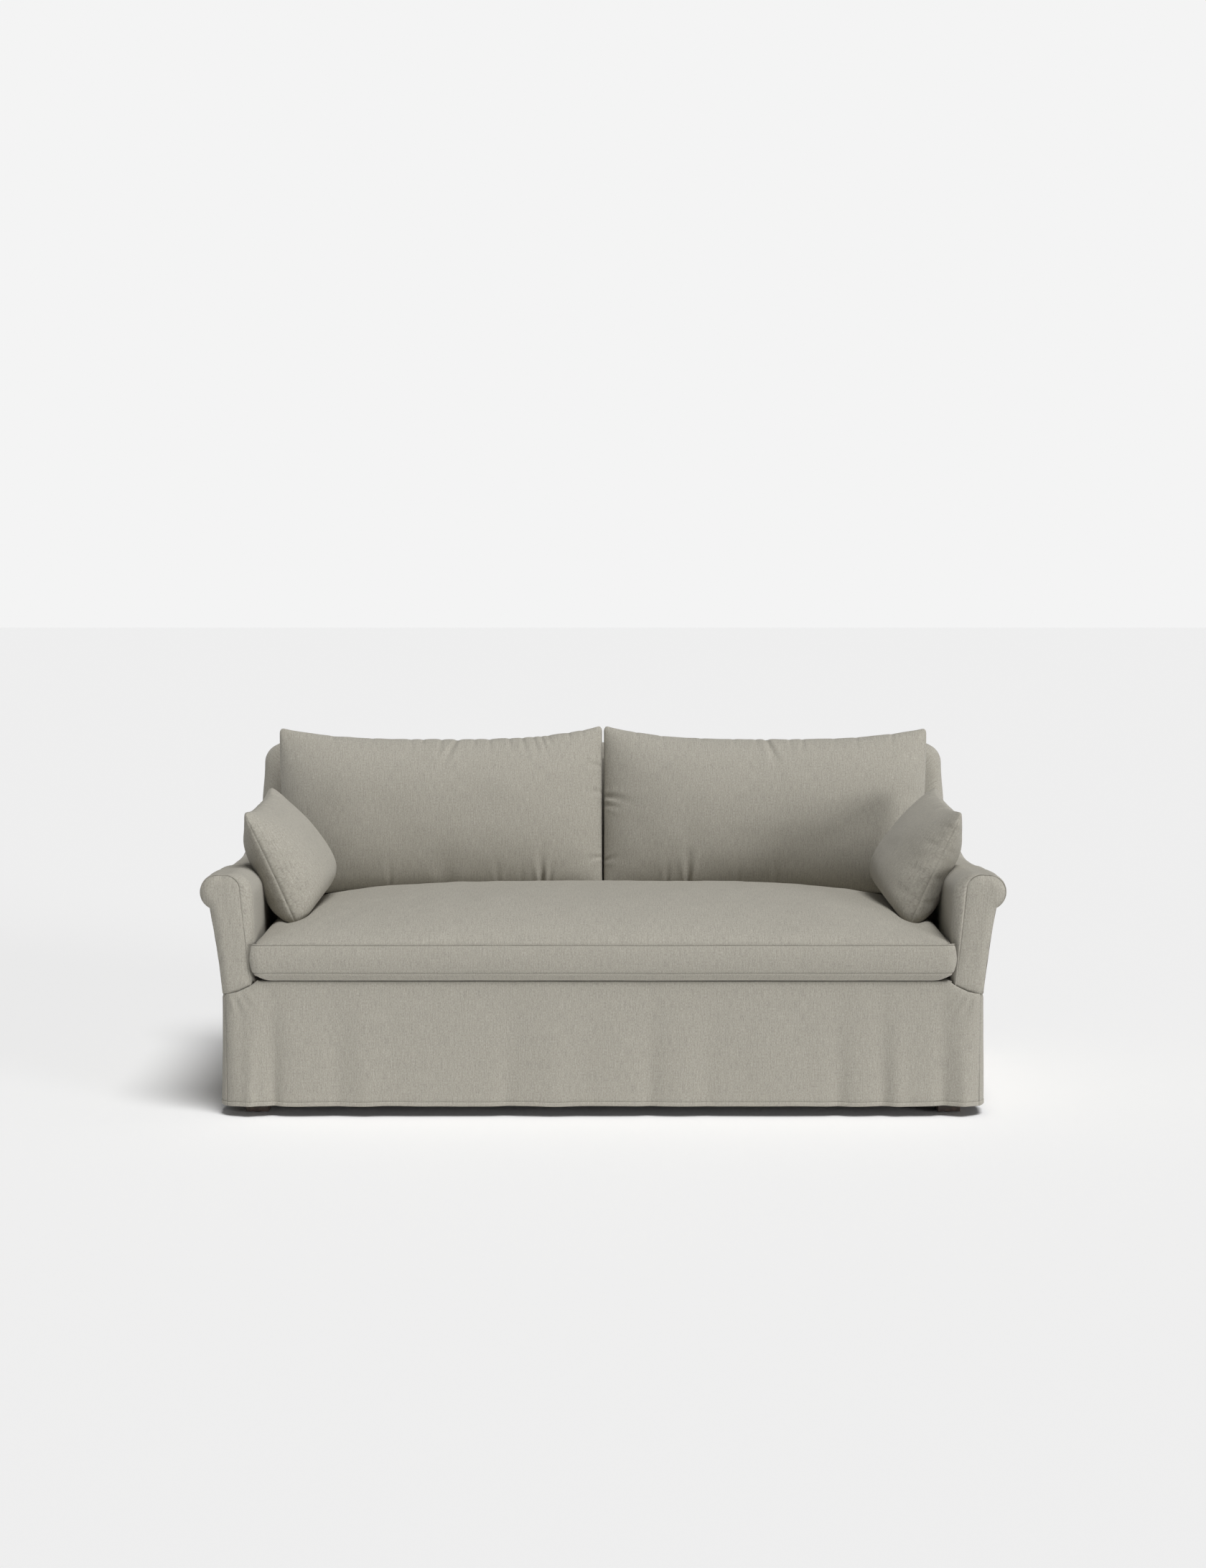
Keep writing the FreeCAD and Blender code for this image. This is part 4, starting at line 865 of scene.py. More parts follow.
def panel_trail():
    """Half the outline of the outside back, from the skirt's seam up to the top."""
    roll_from = 90 - ROLL_CLIMB
    stop = circle_point(ROLL_AT, ROLL, NOTCH_DEGREES)
    start = circle_point(ROLL_AT, ROLL, roll_from)
    path = [Vector((HALF_BASE, SEAM_Z))]
    path += arc_through(path[-1], HOLLOW, stop, 24)
    halfway = circle_point(ROLL_AT, ROLL, (roll_from + NOTCH_DEGREES) / 2)
    path += arc_through(path[-1], halfway, start, 20)
    path += run_to(path[-1], (HALF_BACK + 0.004, ARM_TOP + ARM_RISE), 14)
    path += run_to(path[-1], (HALF_BASE, BACK_TOP - BACK_CORNER), 14)
    path += corner_bend(path[-1], (HALF_BASE - BACK_CORNER, BACK_TOP), 14)
    return path


def make_outside_back():
    """The plain panel that closes the back, with its seam sunk all round."""
    path = panel_trail()
    columns = 160

    def layer(inset, y, softness):
        rows = []
        for p in path:
            row = []
            z = p[1] - inset * fade_in(p[1], start=0.8, run=0.08)
            for j in range(columns):
                share = 2 * j / (columns - 1) - 1
                place = Vector(((p[0] - inset) * share, y, z))
                edge = smooth((1 - abs(share)) / 0.03) * smooth((BACK_TOP - z) / 0.03)
                uneven = ripple(place, scale=0.22, amount=0.003, stretch=(1, 1, 1.4))
                place.y += softness * edge * (0.0035 + uneven)
                row.append(place)
            rows.append(row)
        return rows

    face = layer(0.003, PANEL_Y, 1.0)
    ring = rim_of(layer(0.0, COVER_END_Y + 0.001, 0.0))
    back = layer(0.001, COVER_END_Y, 0.0)
    piece = outward(stuffed_piece("outside_back", face, [ring], back, lambda p: (p.x, p.z)))
    dress(piece, "frame", ["outside_back_panel"])


# Skirt

# Each fold: place along the panel, width, share of the fold depth that it stands out, or in.
FRONT_FOLDS = (
    (-0.886, 0.022, 0.8), (-0.834, 0.022, -0.9), (-0.770, 0.05, 0.3),
    (-0.673, 0.035, -0.5), (-0.600, 0.045, 0.4), (-0.440, 0.09, 0.15), (-0.238, 0.035, -0.5),
    (-0.130, 0.055, 0.4), (0.020, 0.06, 0.15), (0.124, 0.030, -0.6), (0.190, 0.045, 0.3),
    (0.269, 0.035, -0.35), (0.430, 0.08, 0.2), (0.595, 0.030, -0.6), (0.650, 0.035, 0.3),
    (0.704, 0.024, -0.5), (0.741, 0.028, 0.5), (0.800, 0.03, 0.1), (0.858, 0.024, -0.8),
    (0.905, 0.022, 0.6),
)
# Along the sides, folds are placed from the front.
SIDE_FOLDS = (
    (0.09, 0.025, 0.4), (0.16, 0.03, -0.5), (0.25, 0.04, 0.4), (0.33, 0.03, -0.6), (0.42, 0.05, 0.4),
    (0.52, 0.03, -0.4), (0.61, 0.05, 0.5), (0.70, 0.03, -0.7), (0.78, 0.04, 0.5), (0.85, 0.025, -0.5),
)
BACK_FOLDS = (
    (-0.88, 0.025, 0.4), (-0.81, 0.025, -0.6), (-0.70, 0.05, 0.5), (-0.60, 0.03, -0.6), (-0.45, 0.06, 0.5),
    (-0.27, 0.03, -0.7), (-0.1, 0.06, 0.4), (0.06, 0.03, -0.5), (0.22, 0.05, 0.5), (0.38, 0.03, -0.8),
    (0.5, 0.05, 0.5), (0.66, 0.03, -0.6), (0.76, 0.04, 0.5), (0.84, 0.025, -0.6),
)
# Creases that fan down from the seam at the arm's front: place across, height, slope, length, share.
SEAM_CREASES = (
    (0.918, 0.304, 0.55, 0.030, 1.0), (0.897, 0.312, 0.75, 0.026, 0.8), (0.940, 0.300, 0.35, 0.026, 0.8),
)
# The hem's rows: height and how far they stand out, first from its edge and then from its topstitch.
HEM_EDGE = ((0.0, 0.0009), (0.0010, 0.0009), (0.0035, 0.0009), (0.0065, 0.0009))
HEM_STITCH = ((-0.0022, 0.0009), (-0.0011, -0.0005), (0.0, -0.0013), (0.0011, -0.0005), (0.0022, 0.0))
# The radius that a panel turns its corner at, at the hem and at the seam, and its hem's droop there.
CORNER_LOW = 0.050
CORNER_HIGH = 0.030
CORNER_DROOP = 0.0016
# How far a panel stands off the seam that holds it, and off the covers behind it.
SEAM_STEP = 0.0016
SKIRT_GAP = 0.0005
SKIRT_COLUMN = 0.005
FOLD_DRIFT = 0.006
CREASE_DEPTH = 0.0034
CREASE_WIDTH = 0.0055


def fold_out(folds, along, drop):
    """How far the cloth stands out at a place: folds deepen and drift as they fall."""
    depth = settings().skirt.fold_depth
    total = 0.0
    for place, width, share in folds:
        drift = FOLD_DRIFT * math.sin(place * 37.0) * drop
        spread = width * (1.15 - 0.45 * drop)
        total += share * bump(along - place - drift, spread)
    return total * depth * (0.10 + 0.90 * drop ** 1.1)


def creases_at(x, z):
    total = 0.0
    for place, height, slope, reach, share in SEAM_CREASES:
        below = height - z
        across = abs(x) - place + slope * below
        total += share * bump(across, CREASE_WIDTH) * bump(below - reach * 0.5, reach)
    return CREASE_DEPTH * total


def round_corner(past, radius):
    """How a panel's end turns towards the next panel: its run, its retreat and its turned direction."""
    turn = math.pi / 4 * min(max(past / radius, 0.0), 1.0)
    return radius * math.sin(turn), radius * (1 - math.cos(turn)), turn


def skirt_point(half_length, along, out, radius):
    """A place on a panel with rounded ends, as run along it, distance out, measured from its middle."""
    straight = half_length - radius
    past = abs(along) - straight
    if past <= 0:
        return along, out
    run, retreat, turn = round_corner(past, radius)
    return (
        math.copysign(straight + run + out * math.sin(turn), along),
        out * math.cos(turn) - retreat,
    )


def skirt_rows(half_length, top_at, folds, to_world, seed):
    """Rows of a hanging panel from its hem up. To_world places a point given along, out and up."""
    skirt = settings().skirt
    columns = int(2 * half_length / SKIRT_COLUMN)
    hem_rows = HEM_EDGE + tuple((up + skirt.stitch_up, out) for up, out in HEM_STITCH)
    above = [(hem_rows[-1][0], 0.0, share) for share in evenly(0, 1, 46)[1:]]
    plan = [(up, out, 0.0) for up, out in hem_rows] + above
    rows, warp = [], []
    for i, (up, stands_out, climb) in enumerate(plan):
        row = []
        for j in range(columns + 1):
            along = half_length * (2 * j / columns - 1)
            top = top_at(along)
            hem = skirt.hem + skirt.hem_wave * noise.noise(Vector((along * 9, seed, 0)))
            hem -= CORNER_DROOP * bump(half_length - abs(along), width=0.025)
            z = hem + up
            z += (top - z) * climb
            drop = max(1 - (z - hem) / (top - hem), 0.0)
            out = skirt.flare * drop ** 1.3 + fold_out(folds, along, drop) + stands_out
            uneven = ripple(Vector((along, seed, z)), scale=0.09, amount=0.0014, stretch=(1, 1, 2.2))
            out += uneven * (0.35 + 0.65 * drop)
            if i < len(plan) - 2:
                out += SEAM_STEP
            radius = CORNER_HIGH + (CORNER_LOW - CORNER_HIGH) * drop
            row.append(to_world(*skirt_point(half_length, along, out, radius), z))
        rows.append(row)
        warp.append(row[columns // 2].z)
    return rows, warp


def make_skirt():
    """Four hanging panels, stitched at the corners, with a topstitched hem."""
    front = FACING_Y - SKIRT_GAP
    back = PANEL_Y + SKIRT_GAP
    wide = HALF_BASE + SKIRT_GAP
    middle = (front + back) / 2
    half_deep = (back - front) / 2
    side_folds = tuple((place - half_deep, width, share) for place, width, share in SIDE_FOLDS)
    panels = (
        ("front", wide, seam_rise_at, FRONT_FOLDS,
         lambda a, o, z: Vector((a, front - o - creases_at(a, z), z)), 1.7),
        ("back", wide, lambda a: SEAM_Z, BACK_FOLDS, lambda a, o, z: Vector((a, back + o, z)), 8.2),
        ("left", half_deep, lambda a: SEAM_Z, side_folds,
         lambda a, o, z: Vector((-wide - o, middle + a, z)), 4.1),
        ("right", half_deep, lambda a: SEAM_Z, side_folds,
         lambda a, o, z: Vector((wide + o, middle + a, z)), 6.3),
    )
    for suffix, half_length, top_at, folds, to_world, seed in panels:
        rows, warp = skirt_rows(half_length, top_at, folds, to_world, seed)
        piece = outward(sheet_piece("skirt_" + suffix, rows, warp))
        give_thickness(piece, settings().linen.thickness)
        dress(piece, "frame", ["skirt_" + suffix])
        tall = top_at(0.0) - settings().skirt.hem


# Deck and dust cover

def make_deck():
    """The plain cloth over the springs, under the seat cushion."""
    low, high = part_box("deck_cover")
    warp = evenly(low.y, high.y, 60)
    rows = []
    for y in warp:
        row = []
        for x in evenly(low.x, high.x, 140):
            uneven = ripple(Vector((x, y, 0)), scale=0.12, amount=0.0004)
            sag = 0.0008 * bump(x, width=0.7) + uneven
            row.append(Vector((x, y, high.z - 0.0012 - max(sag, 0))))
        rows.append(row)
    piece = sheet_piece("deck", rows, warp)
    give_thickness(piece, thick=0.0016)
    dress(piece, "frame", ["deck_cover", "deck_pad", "deck_burlap", "front_edge_roll"])


def make_dust_cover():
    """Black cambric stapled under the frame, cut out round the feet."""
    low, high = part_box("dust_cover")
    foot_low, foot_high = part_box("foot_front_right")
    reach = high.x - foot_low.x + 0.001
    xs = [low.x] + evenly(low.x + reach, high.x - reach, 40) + [high.x]
    ys = [low.y] + evenly(low.y + reach, high.y - reach, 20) + [high.y]
    points, faces, uvs = [], [], []
    for y in ys:
        for x in xs:
            inside = smooth((high.x - abs(x)) / 0.2) * smooth((high.y - abs(y)) / 0.2)
            sag = 0.0025 * inside * (0.6 + noise.noise(Vector((x * 5, y * 5, 0))))
            points.append(Vector((x, y, (low.z + high.z) / 2 - max(sag, 0))))
    for i, j, corners in squares(len(ys), len(xs)):
        x, y = (xs[j] + xs[j + 1]) / 2, (ys[i] + ys[i + 1]) / 2
        if abs(x) > high.x - reach and (y < low.y + reach or y > high.y - reach):
            continue
        faces.append(corners)
        uvs.append([(points[c].x, points[c].y) for c in corners])
    piece = make_mesh("dust_cloth", points, faces, uvs)
    give_thickness(piece, thick=0.001)
    dress(piece, "frame", ["dust_cover"], "cambric")


# Seat cushion

SEAT_DEEP = 0.805
SEAT_ROUND = 0.03
UPPER_SEAM = 0.438
LOWER_SEAM = 0.367
SEAT_BOTTOM = 0.3457
# How much wider the cushion gets in front of the arms, on each side.
FRONT_WIDENING = 0.019


def rounded_plan(p, q, half_x, half_y, radius):
    """A place in a square, p and q from -1 to 1, moved into a rectangle with round corners."""
    x, y = half_x * p, half_y * q
    over_x, over_y = abs(x) - (half_x - radius), abs(y) - (half_y - radius)
    if over_x > 0 and over_y > 0:
        a, b = over_x / radius, over_y / radius
        x = math.copysign(half_x - radius + radius * a * math.sqrt(1 - b * b / 2), x)
        y = math.copysign(half_y - radius + radius * b * math.sqrt(1 - a * a / 2), y)
    return x, y


def even_with_edges(count, gather):
    """Places from -1 to 1, closer together towards both ends."""
    return [
        (1 - gather) * spot + gather * math.sin(math.pi / 2 * spot)
        for spot in (2 * i / count - 1 for i in range(count + 1))
    ]


RESTING = ("back_cushion_", "throw_pillow_")
REST_GAP = 0.0012
# How often the dents are smoothed: more turns spread them further.
DENT_TURNS = 26


def press_down(rows, pieces):
    """Dents a top of points under what rests on it, and lets each dent run out softly."""
    trees = []
    for piece in pieces:
        mesh = piece.data
        corners = [v.co for v in mesh.vertices]
        trees.append(BVHTree.FromPolygons(corners, [p.vertices for p in mesh.polygons]))
    depths = []
    for row in rows:
        line = []
        for p in row:
            hits = [tree.ray_cast(Vector((p.x, p.y, DECK_Z)), Vector((0, 0, 1)))[0] for tree in trees]
            line.append(max([p.z - (hit.z - REST_GAP) for hit in hits if hit] + [0.0]))
        depths.append(line)
    needed = [list(line) for line in depths]
    for turn in range(DENT_TURNS):
        for line in depths:
            line[1:-1] = [(a + 2 * b + c) / 4 for a, b, c in zip(line, line[1:], line[2:])]
        for i in range(1, len(depths) - 1):
            depths[i] = [(a + 2 * b + c) / 4 for a, b, c in zip(depths[i - 1], depths[i], depths[i + 1])]
        depths = [[max(a, b) for a, b in zip(line, least)] for line, least in zip(depths, needed)]
    for row, line in zip(rows, depths):
        for p, depth in zip(row, line):
            p.z -= depth


def make_seat_cushion():
    """One long bench cushion: a crowned top, a narrow border between two seams, a flat bottom."""
    crown = settings().cushions.seat_crown
    half_x, half_y = HALF_SEAT - 0.0012, SEAT_DEEP / 2
    mid_y = FRONT_Y + half_y
    across, deep = even_with_edges(300, 0.75), even_with_edges(120, 0.75)

    def plan(p, q, inset, z):
        x, y = rounded_plan(p, q, half_x - inset, half_y - inset, SEAT_ROUND)
        y += mid_y
        forward = smooth((FACING_Y - 0.001 - y) / 0.008)
        x += math.copysign(FRONT_WIDENING * forward * fade_in(abs(p), start=0.9, run=0.1), x)
        return Vector((x, y, z))

    def top_at(p, q):
        fx = max(1 - abs(p) ** 3.2, 0) ** 0.5
        fy = max(1 - abs(q) ** 2.3, 0) ** 0.7
        z = UPPER_SEAM + (crown - UPPER_SEAM) * fx * fy
        place = plan(p, q, 0.006, z)
        edge = min(1 - abs(p), 1 - abs(q))
        soft = smooth(edge / 0.06)
        broad = ripple(place, scale=0.2, amount=0.0035)
        place.z += soft * (broad + ripple(place, scale=0.05, amount=0.0006))
        return place

    face = [[top_at(p, q) for p in across] for q in deep]
    press_down(face, [bpy.data.objects[name + suffix] for name in RESTING for suffix, side in SIDES])
    rings = []
    # The border between its two seams: height, and how far inside the widest outline.
    profile = (
        (UPPER_SEAM + 0.0036, 0.0034), (UPPER_SEAM + 0.0012, 0.0034), (UPPER_SEAM, 0.0054),
        (UPPER_SEAM - 0.0012, 0.0036), (UPPER_SEAM - 0.005, 0.0024), (UPPER_SEAM - 0.018, 0.0008),
        ((UPPER_SEAM + LOWER_SEAM) / 2, 0.0), (LOWER_SEAM + 0.018, 0.0012), (LOWER_SEAM + 0.005, 0.0036),
        (LOWER_SEAM + 0.0012, 0.0048), (LOWER_SEAM, 0.0066), (LOWER_SEAM - 0.0012, 0.0054),
        (LOWER_SEAM - 0.006, 0.0070), (LOWER_SEAM - 0.012, 0.0108), (SEAT_BOTTOM + 0.002, 0.017),
    )
    for z, inset in profile:
        ring = []
        for i, j in rim_places(len(deep), len(across)):
            p, q = across[j], deep[i]
            place = plan(p, q, inset, z)
            wave = noise.noise(Vector((place.x * 14, place.y * 14, z * 30)))
            sway = 0.0012 * noise.noise(Vector((place.x * 6, place.y * 6, 3)))
            outward_way = Vector((p if abs(p) == 1 else 0, q if abs(q) == 1 else 0, 0)).normalized()
            place += outward_way * (0.0012 * wave - 0.0006)
            place.z += sway
            ring.append(place)
        rings.append(ring)
    bottom = [[plan(p, q, 0.023, SEAT_BOTTOM) for p in across] for q in deep]
    piece = stuffed_piece("seat_cushion", face, rings, bottom, lambda p: (p.x, p.y))
    dress(outward(piece), "seat_cushion", ["seat_cushion_cover", "seat_cushion_core"])


# Knife-edge cushions

# A plan says how one is sewn and filled. Lengths are in metres.
# width, height, thick, edge: its sides, and its thickness at the crown and at the seam
# peak, peak_inner, peak_low: how far its outer and inner corners point up, and its low ones down
# draw, draw_inner, squeeze: how far its sides are drawn in, and the outer one more towards the bottom
# corner: radius of its corners
# plump, low_fullness: powers that fill it near its seams, and near its lower seam
# slump, puff: share of the fill that has sunk, and what the front's upper half stands out
# front_share, rear_share: each face's share of half the thickness
# lump, lump_size, seed: height and size of its unevenness, and which part of the noise it takes
# gather, top_lines, low_lines, side_lines, both: its gathers, and whether both faces have them
# sink, out: how far it settles below its solid, and outwards
# mirror: 1 on the right and -1 on the left, where the gathers still go by the sofa's own x

def fold_lines(lines, across, along, depth):
    """Gathers drawn in at a seam. Each has its place, slant, length, width and share of the depth."""
    total = 0.0
    for place, slant, reach, width, share in lines:
        if along > 2.4 * reach:
            continue
        offset = across - place - slant * along
        spread = width * (1 + 1.2 * along / reach)
        if abs(offset) > 5 * spread:
            continue
        fade = math.exp(-(along / reach) ** 2)
        beside = 0.4 * bump(abs(offset) - 1.9 * spread, spread)
        total -= share * depth * fade * (bump(offset, spread) - beside)
    return total


def knife_cushion(plan, count_across, count_up):
    """The two faces of a crowned cushion sewn round its edge, standing on its lower edge."""
    across_places, up_places = even_with_edges(count_across, 0.6), even_with_edges(count_up, 0.7)
    half_width, half_height = plan.width / 2, plan.height / 2

    def at(a, u, side):
        """A point of one face, for a place from -1 to 1 across and up."""
        swell = max((1 - abs(a) ** 3.0) * (1 - abs(u) ** (plan.low_fullness if u < 0 else 2.4)), 0.0)
        flat_x, flat_z = rounded_plan(a, u, half_width, half_height, plan.corner)
        peak = (plan.peak if a > 0 else plan.peak_inner) if u > 0 else plan.peak_low
        draw = plan.draw if a > 0 else plan.draw_inner
        squeezed = plan.squeeze * ((1 - u) / 2) ** 2 * max(a, 0)
        x = flat_x - a * draw * (1 - u * u) - squeezed
        share, puff = (plan.front_share, plan.puff) if side < 0 else (plan.rear_share, 0.0)
        share *= 1 - plan.slump * u
        thick = plan.edge / 2 + (plan.thick - plan.edge) / 2 * share * swell ** plan.plump
        thick += puff * bump(u - 0.5, 0.38) * (1 - a * a)
        z = half_height + flat_z + peak * u * abs(a) ** 3
        spot = Vector((x * plan.mirror + plan.seed, side, z))
        inner = smooth(min(1 - abs(a), (1 - abs(u)) * half_height / half_width) / 0.10)
        soft = ripple(spot, plan.lump_size, plan.lump) * inner
        from_top, from_low = half_height - flat_z, half_height + flat_z
        place_x = x * plan.mirror
        if side < 0 or plan.both:
            soft += fold_lines(plan.top_lines, place_x, from_top, plan.gather)
            soft += fold_lines(plan.low_lines, place_x, from_low, plan.gather)
            soft += fold_lines(plan.side_lines, from_low, half_width + flat_x, plan.gather)
        if from_top < 0.02:
            z -= sum(0.0022 * share * bump(place_x - place, width * 2.2)
                     for place, slant, reach, width, share in plan.top_lines) * (1 - from_top / 0.02)
            z += 0.0012 * noise.noise(Vector((place_x * 26, plan.seed, 0))) * (1 - from_top / 0.02)
        return Vector((x, side * (thick + max(soft, -thick * 0.7)), z))

    faces = [[[at(a, u, side) for a in across_places] for u in up_places] for side in (-1, 1)]
    ring = []
    for i, j in rim_places(len(up_places), len(across_places)):
        a, u = across_places[j], up_places[i]
        middle = (faces[0][i][j] + faces[1][i][j]) / 2
        inward = Vector((-a if abs(a) == 1 else 0, 0, -u if abs(u) == 1 else 0))
        ring.append(middle + inward.normalized() * 0.0016)
    return faces[0], ring, faces[1]


def settle(groups, node, sink, out):
    """Slides points made at the origin to the solid's middle and lowest height, then down and outwards."""
    everything = [p for group in groups for p in group]
    low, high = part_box(node)
    shift = Vector((
        (low.x + high.x) / 2 - (min(p.x for p in everything) + max(p.x for p in everything)) / 2 + out,
        (low.y + high.y) / 2 - (min(p.y for p in everything) + max(p.y for p in everything)) / 2,
        low.z - min(p.z for p in everything) - sink,
    ))
    for p in everything:
        p += shift


def make_knife_piece(name, plan, pose, node, side, counts):
    """A knife-edge cushion turned to its pose and settled over its solid, with places in its flat cloth."""
    face, ring, back = knife_cushion(plan, *counts)
    groups = face + [ring] + back
    flat_places = {}
    for group in groups:
        for p in group:
            key = (p.x, p.z)
            p.xyz = pose @ p
            if side < 0:
                p.x = -p.x
            flat_places[id(p)] = key
    settle(groups, node, plan.sink, plan.out * side)
    piece = stuffed_piece(name, face, [ring], back, lambda p: flat_places[id(p)])
    return outward(piece)


# Each gather: place across the sofa from the cushion's middle, slant, length, width, share of depth.
LEFT_TOP_LINES = (
    (-0.082, 0.1, 0.030, 0.0038, 0.6), (-0.048, 0.0, 0.026, 0.0034, 0.8), (0.004, -0.1, 0.036, 0.0036, 0.9),
    (0.048, -0.45, 0.060, 0.0050, 1.6), (0.096, -0.1, 0.030, 0.0036, 0.7), (0.136, 0.1, 0.036, 0.0036, 0.8),
    (0.192, 0.1, 0.030, 0.0036, 0.7), (0.228, 0.2, 0.036, 0.0034, 0.9), (0.258, 0.25, 0.050, 0.0034, 0.6),
    (0.280, 0.3, 0.055, 0.0034, 0.7), (0.299, 0.35, 0.036, 0.0032, 0.6), (-0.30, 0.2, 0.030, 0.0050, 0.4),
    (0.356, 0.2, 0.026, 0.0036, 0.5), (-0.19, 0.1, 0.024, 0.0040, 0.4), (0.395, 0.1, 0.022, 0.0034, 0.4),
)
LEFT_LOW_LINES = (
    (0.284, 0.0, 0.074, 0.0042, 2.8), (0.303, 0.1, 0.062, 0.0036, 1.1), (0.022, 0.0, 0.085, 0.0130, 0.9),
    (0.165, -0.05, 0.060, 0.0038, 0.8), (-0.136, 0.05, 0.060, 0.0038, 0.7), (0.226, 0.05, 0.056, 0.0036, 0.6),
)
LEFT_SIDE_LINES = (
    (0.330, 0.3, 0.040, 0.0042, 0.7), (0.270, 0.1, 0.034, 0.0042, 0.8), (0.10, -0.2, 0.034, 0.0042, 0.7),
)
RIGHT_TOP_LINES = (
    (-0.028, 0.1, 0.030, 0.0036, 0.7), (0.002, 0.3, 0.060, 0.0050, 1.6), (0.066, 0.1, 0.030, 0.0036, 0.7),
    (0.103, -0.1, 0.036, 0.0036, 0.8), (0.253, -0.1, 0.030, 0.0042, 0.6), (0.353, -0.2, 0.036, 0.0042, 0.6),
    (-0.18, 0.1, 0.028, 0.0042, 0.5), (-0.29, 0.2, 0.026, 0.0042, 0.5), (-0.09, 0.1, 0.024, 0.0036, 0.5),
    (-0.36, 0.1, 0.026, 0.0036, 0.5), (0.19, 0.1, 0.024, 0.0040, 0.4),
)
RIGHT_LOW_LINES = (
    (-0.278, 0.05, 0.064, 0.0038, 1.0), (-0.217, 0.0, 0.080, 0.0044, 2.6), (-0.083, 0.05, 0.060, 0.0038, 0.8),
    (0.026, -0.05, 0.060, 0.0038, 0.7),
)
RIGHT_SIDE_LINES = (
    (0.262, -0.2, 0.060, 0.0044, 1.2), (0.240, -0.1, 0.050, 0.0042, 0.8), (0.090, 0.2, 0.034, 0.0042, 0.6),
)


def make_back_cushions():
    """Two loose cushions with peaked corners and gathered seams, leaning on the back."""
    cushions = settings().cushions
    lines = {
        "left": (LEFT_TOP_LINES, LEFT_LOW_LINES, LEFT_SIDE_LINES),
        "right": (RIGHT_TOP_LINES, RIGHT_LOW_LINES, RIGHT_SIDE_LINES),
    }
    for suffix, side in SIDES:
        top, low, inner = lines[suffix]
        plan = SimpleNamespace(
            width=0.900, height=0.430, thick=cushions.back_thick, edge=0.004,
            peak=0.032, peak_inner=0.038, peak_low=0.0,
            draw=0.001, draw_inner=0.0, squeeze=0.046, corner=0.014,
            plump=0.55, low_fullness=2.4, slump=-0.08, puff=0.0, front_share=1.0, rear_share=1.0,
            lump=0.0042, lump_size=0.26, seed=1.3 if side > 0 else 7.9, mirror=side,
            gather=cushions.gather_depth, top_lines=top, low_lines=low, side_lines=inner, both=False,
            sink=0.0, out=0.0025,
        )
        name = "back_cushion_" + suffix
        nodes = ["back_cushion_cover_" + suffix, "back_cushion_fill_" + suffix]
        pose = Matrix.Rotation(math.radians(-10.5), 3, "X")
        piece = make_knife_piece(name, plan, pose, nodes[0], side, (330, 130))
        dress(piece, name, nodes)


PILLOW_TOP_LINES = (
    (-0.13, 0.2, 0.030, 0.0050, 0.8), (-0.07, 0.1, 0.036, 0.0050, 0.9), (0.02, -0.1, 0.030, 0.0050, 0.7),
    (0.09, -0.2, 0.036, 0.0050, 0.9), (0.14, -0.2, 0.030, 0.0050, 0.8),
)
PILLOW_LOW_LINES = (
    (-0.1, 0.1, 0.030, 0.005, 0.8), (0.02, 0.0, 0.026, 0.005, 0.6), (0.12, -0.1, 0.030, 0.005, 0.8),
)
PILLOW_SIDE_LINES = (
    (0.07, 0.1, 0.034, 0.0050, 0.9), (0.13, 0.0, 0.030, 0.0046, 0.8), (0.20, -0.1, 0.036, 0.0050, 1.0),
    (0.25, -0.1, 0.026, 0.0046, 0.8),
)


def make_throw_pillows():
    """Two throw pillows leaning on the arms, plumper on the open side, with the same sewn edge."""
    cushions = settings().cushions
    pose = Matrix.Identity(3)
    for degrees, axis in ((4, "X"), (24, "Y"), (93, "Z")):
        pose = pose @ Matrix.Rotation(math.radians(degrees), 3, axis)
    for suffix, side in SIDES:
        plan = SimpleNamespace(
            width=0.420, height=0.296, thick=cushions.pillow_thick, edge=0.0024,
            peak=0.021, peak_inner=0.021, peak_low=0.023,
            draw=0.013, draw_inner=0.013, squeeze=0.0, corner=0.045,
            plump=0.60, low_fullness=3.6, slump=0.32, puff=0.020, front_share=0.76, rear_share=1.03,
            lump=0.0035, lump_size=0.15, seed=3.1 if side > 0 else 5.7, mirror=side,
            gather=cushions.gather_depth * 0.5, top_lines=PILLOW_TOP_LINES, low_lines=PILLOW_LOW_LINES,
            side_lines=PILLOW_SIDE_LINES, both=True, sink=0.019, out=0.011,
        )
        name = "throw_pillow_" + suffix
        nodes = ["throw_pillow_cover_" + suffix, "throw_pillow_fill_" + suffix]
        piece = make_knife_piece(name, plan, pose, nodes[0], side, (120, 84))
        dress(piece, name, nodes)


# Frame, feet and springs keep their solids and get their finishes here.
FINISH_OF = (
    ("foot_glides", "nylon"), ("foot_", "foot"), ("arm_front_board", "plywood"),
    ("seat_springs", "steel"), ("spring_", "steel"),
)


def finish_frame():
    for node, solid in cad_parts.items():
        if solid.hide_render:
            continue
        named = next((finish for start, finish in FINISH_OF if node.startswith(start)), "hardwood")
        solid.data.materials.clear()
        solid.data.materials.append(finish_named(named))


# Stage

CAMERA_AT = (0.0, -6.9625, 1.367)
CAMERA_TILT = 85.398
LENS = 59.79
FLOOR_REACH = 60.0
# The ways from the sofa to its lights.
OVERHEAD_FROM = (0.20, -0.37, 0.90)
SIDE_FROM = (0.76, -0.65, 0.06)
SKY_SEEN = "#F4F4F4"


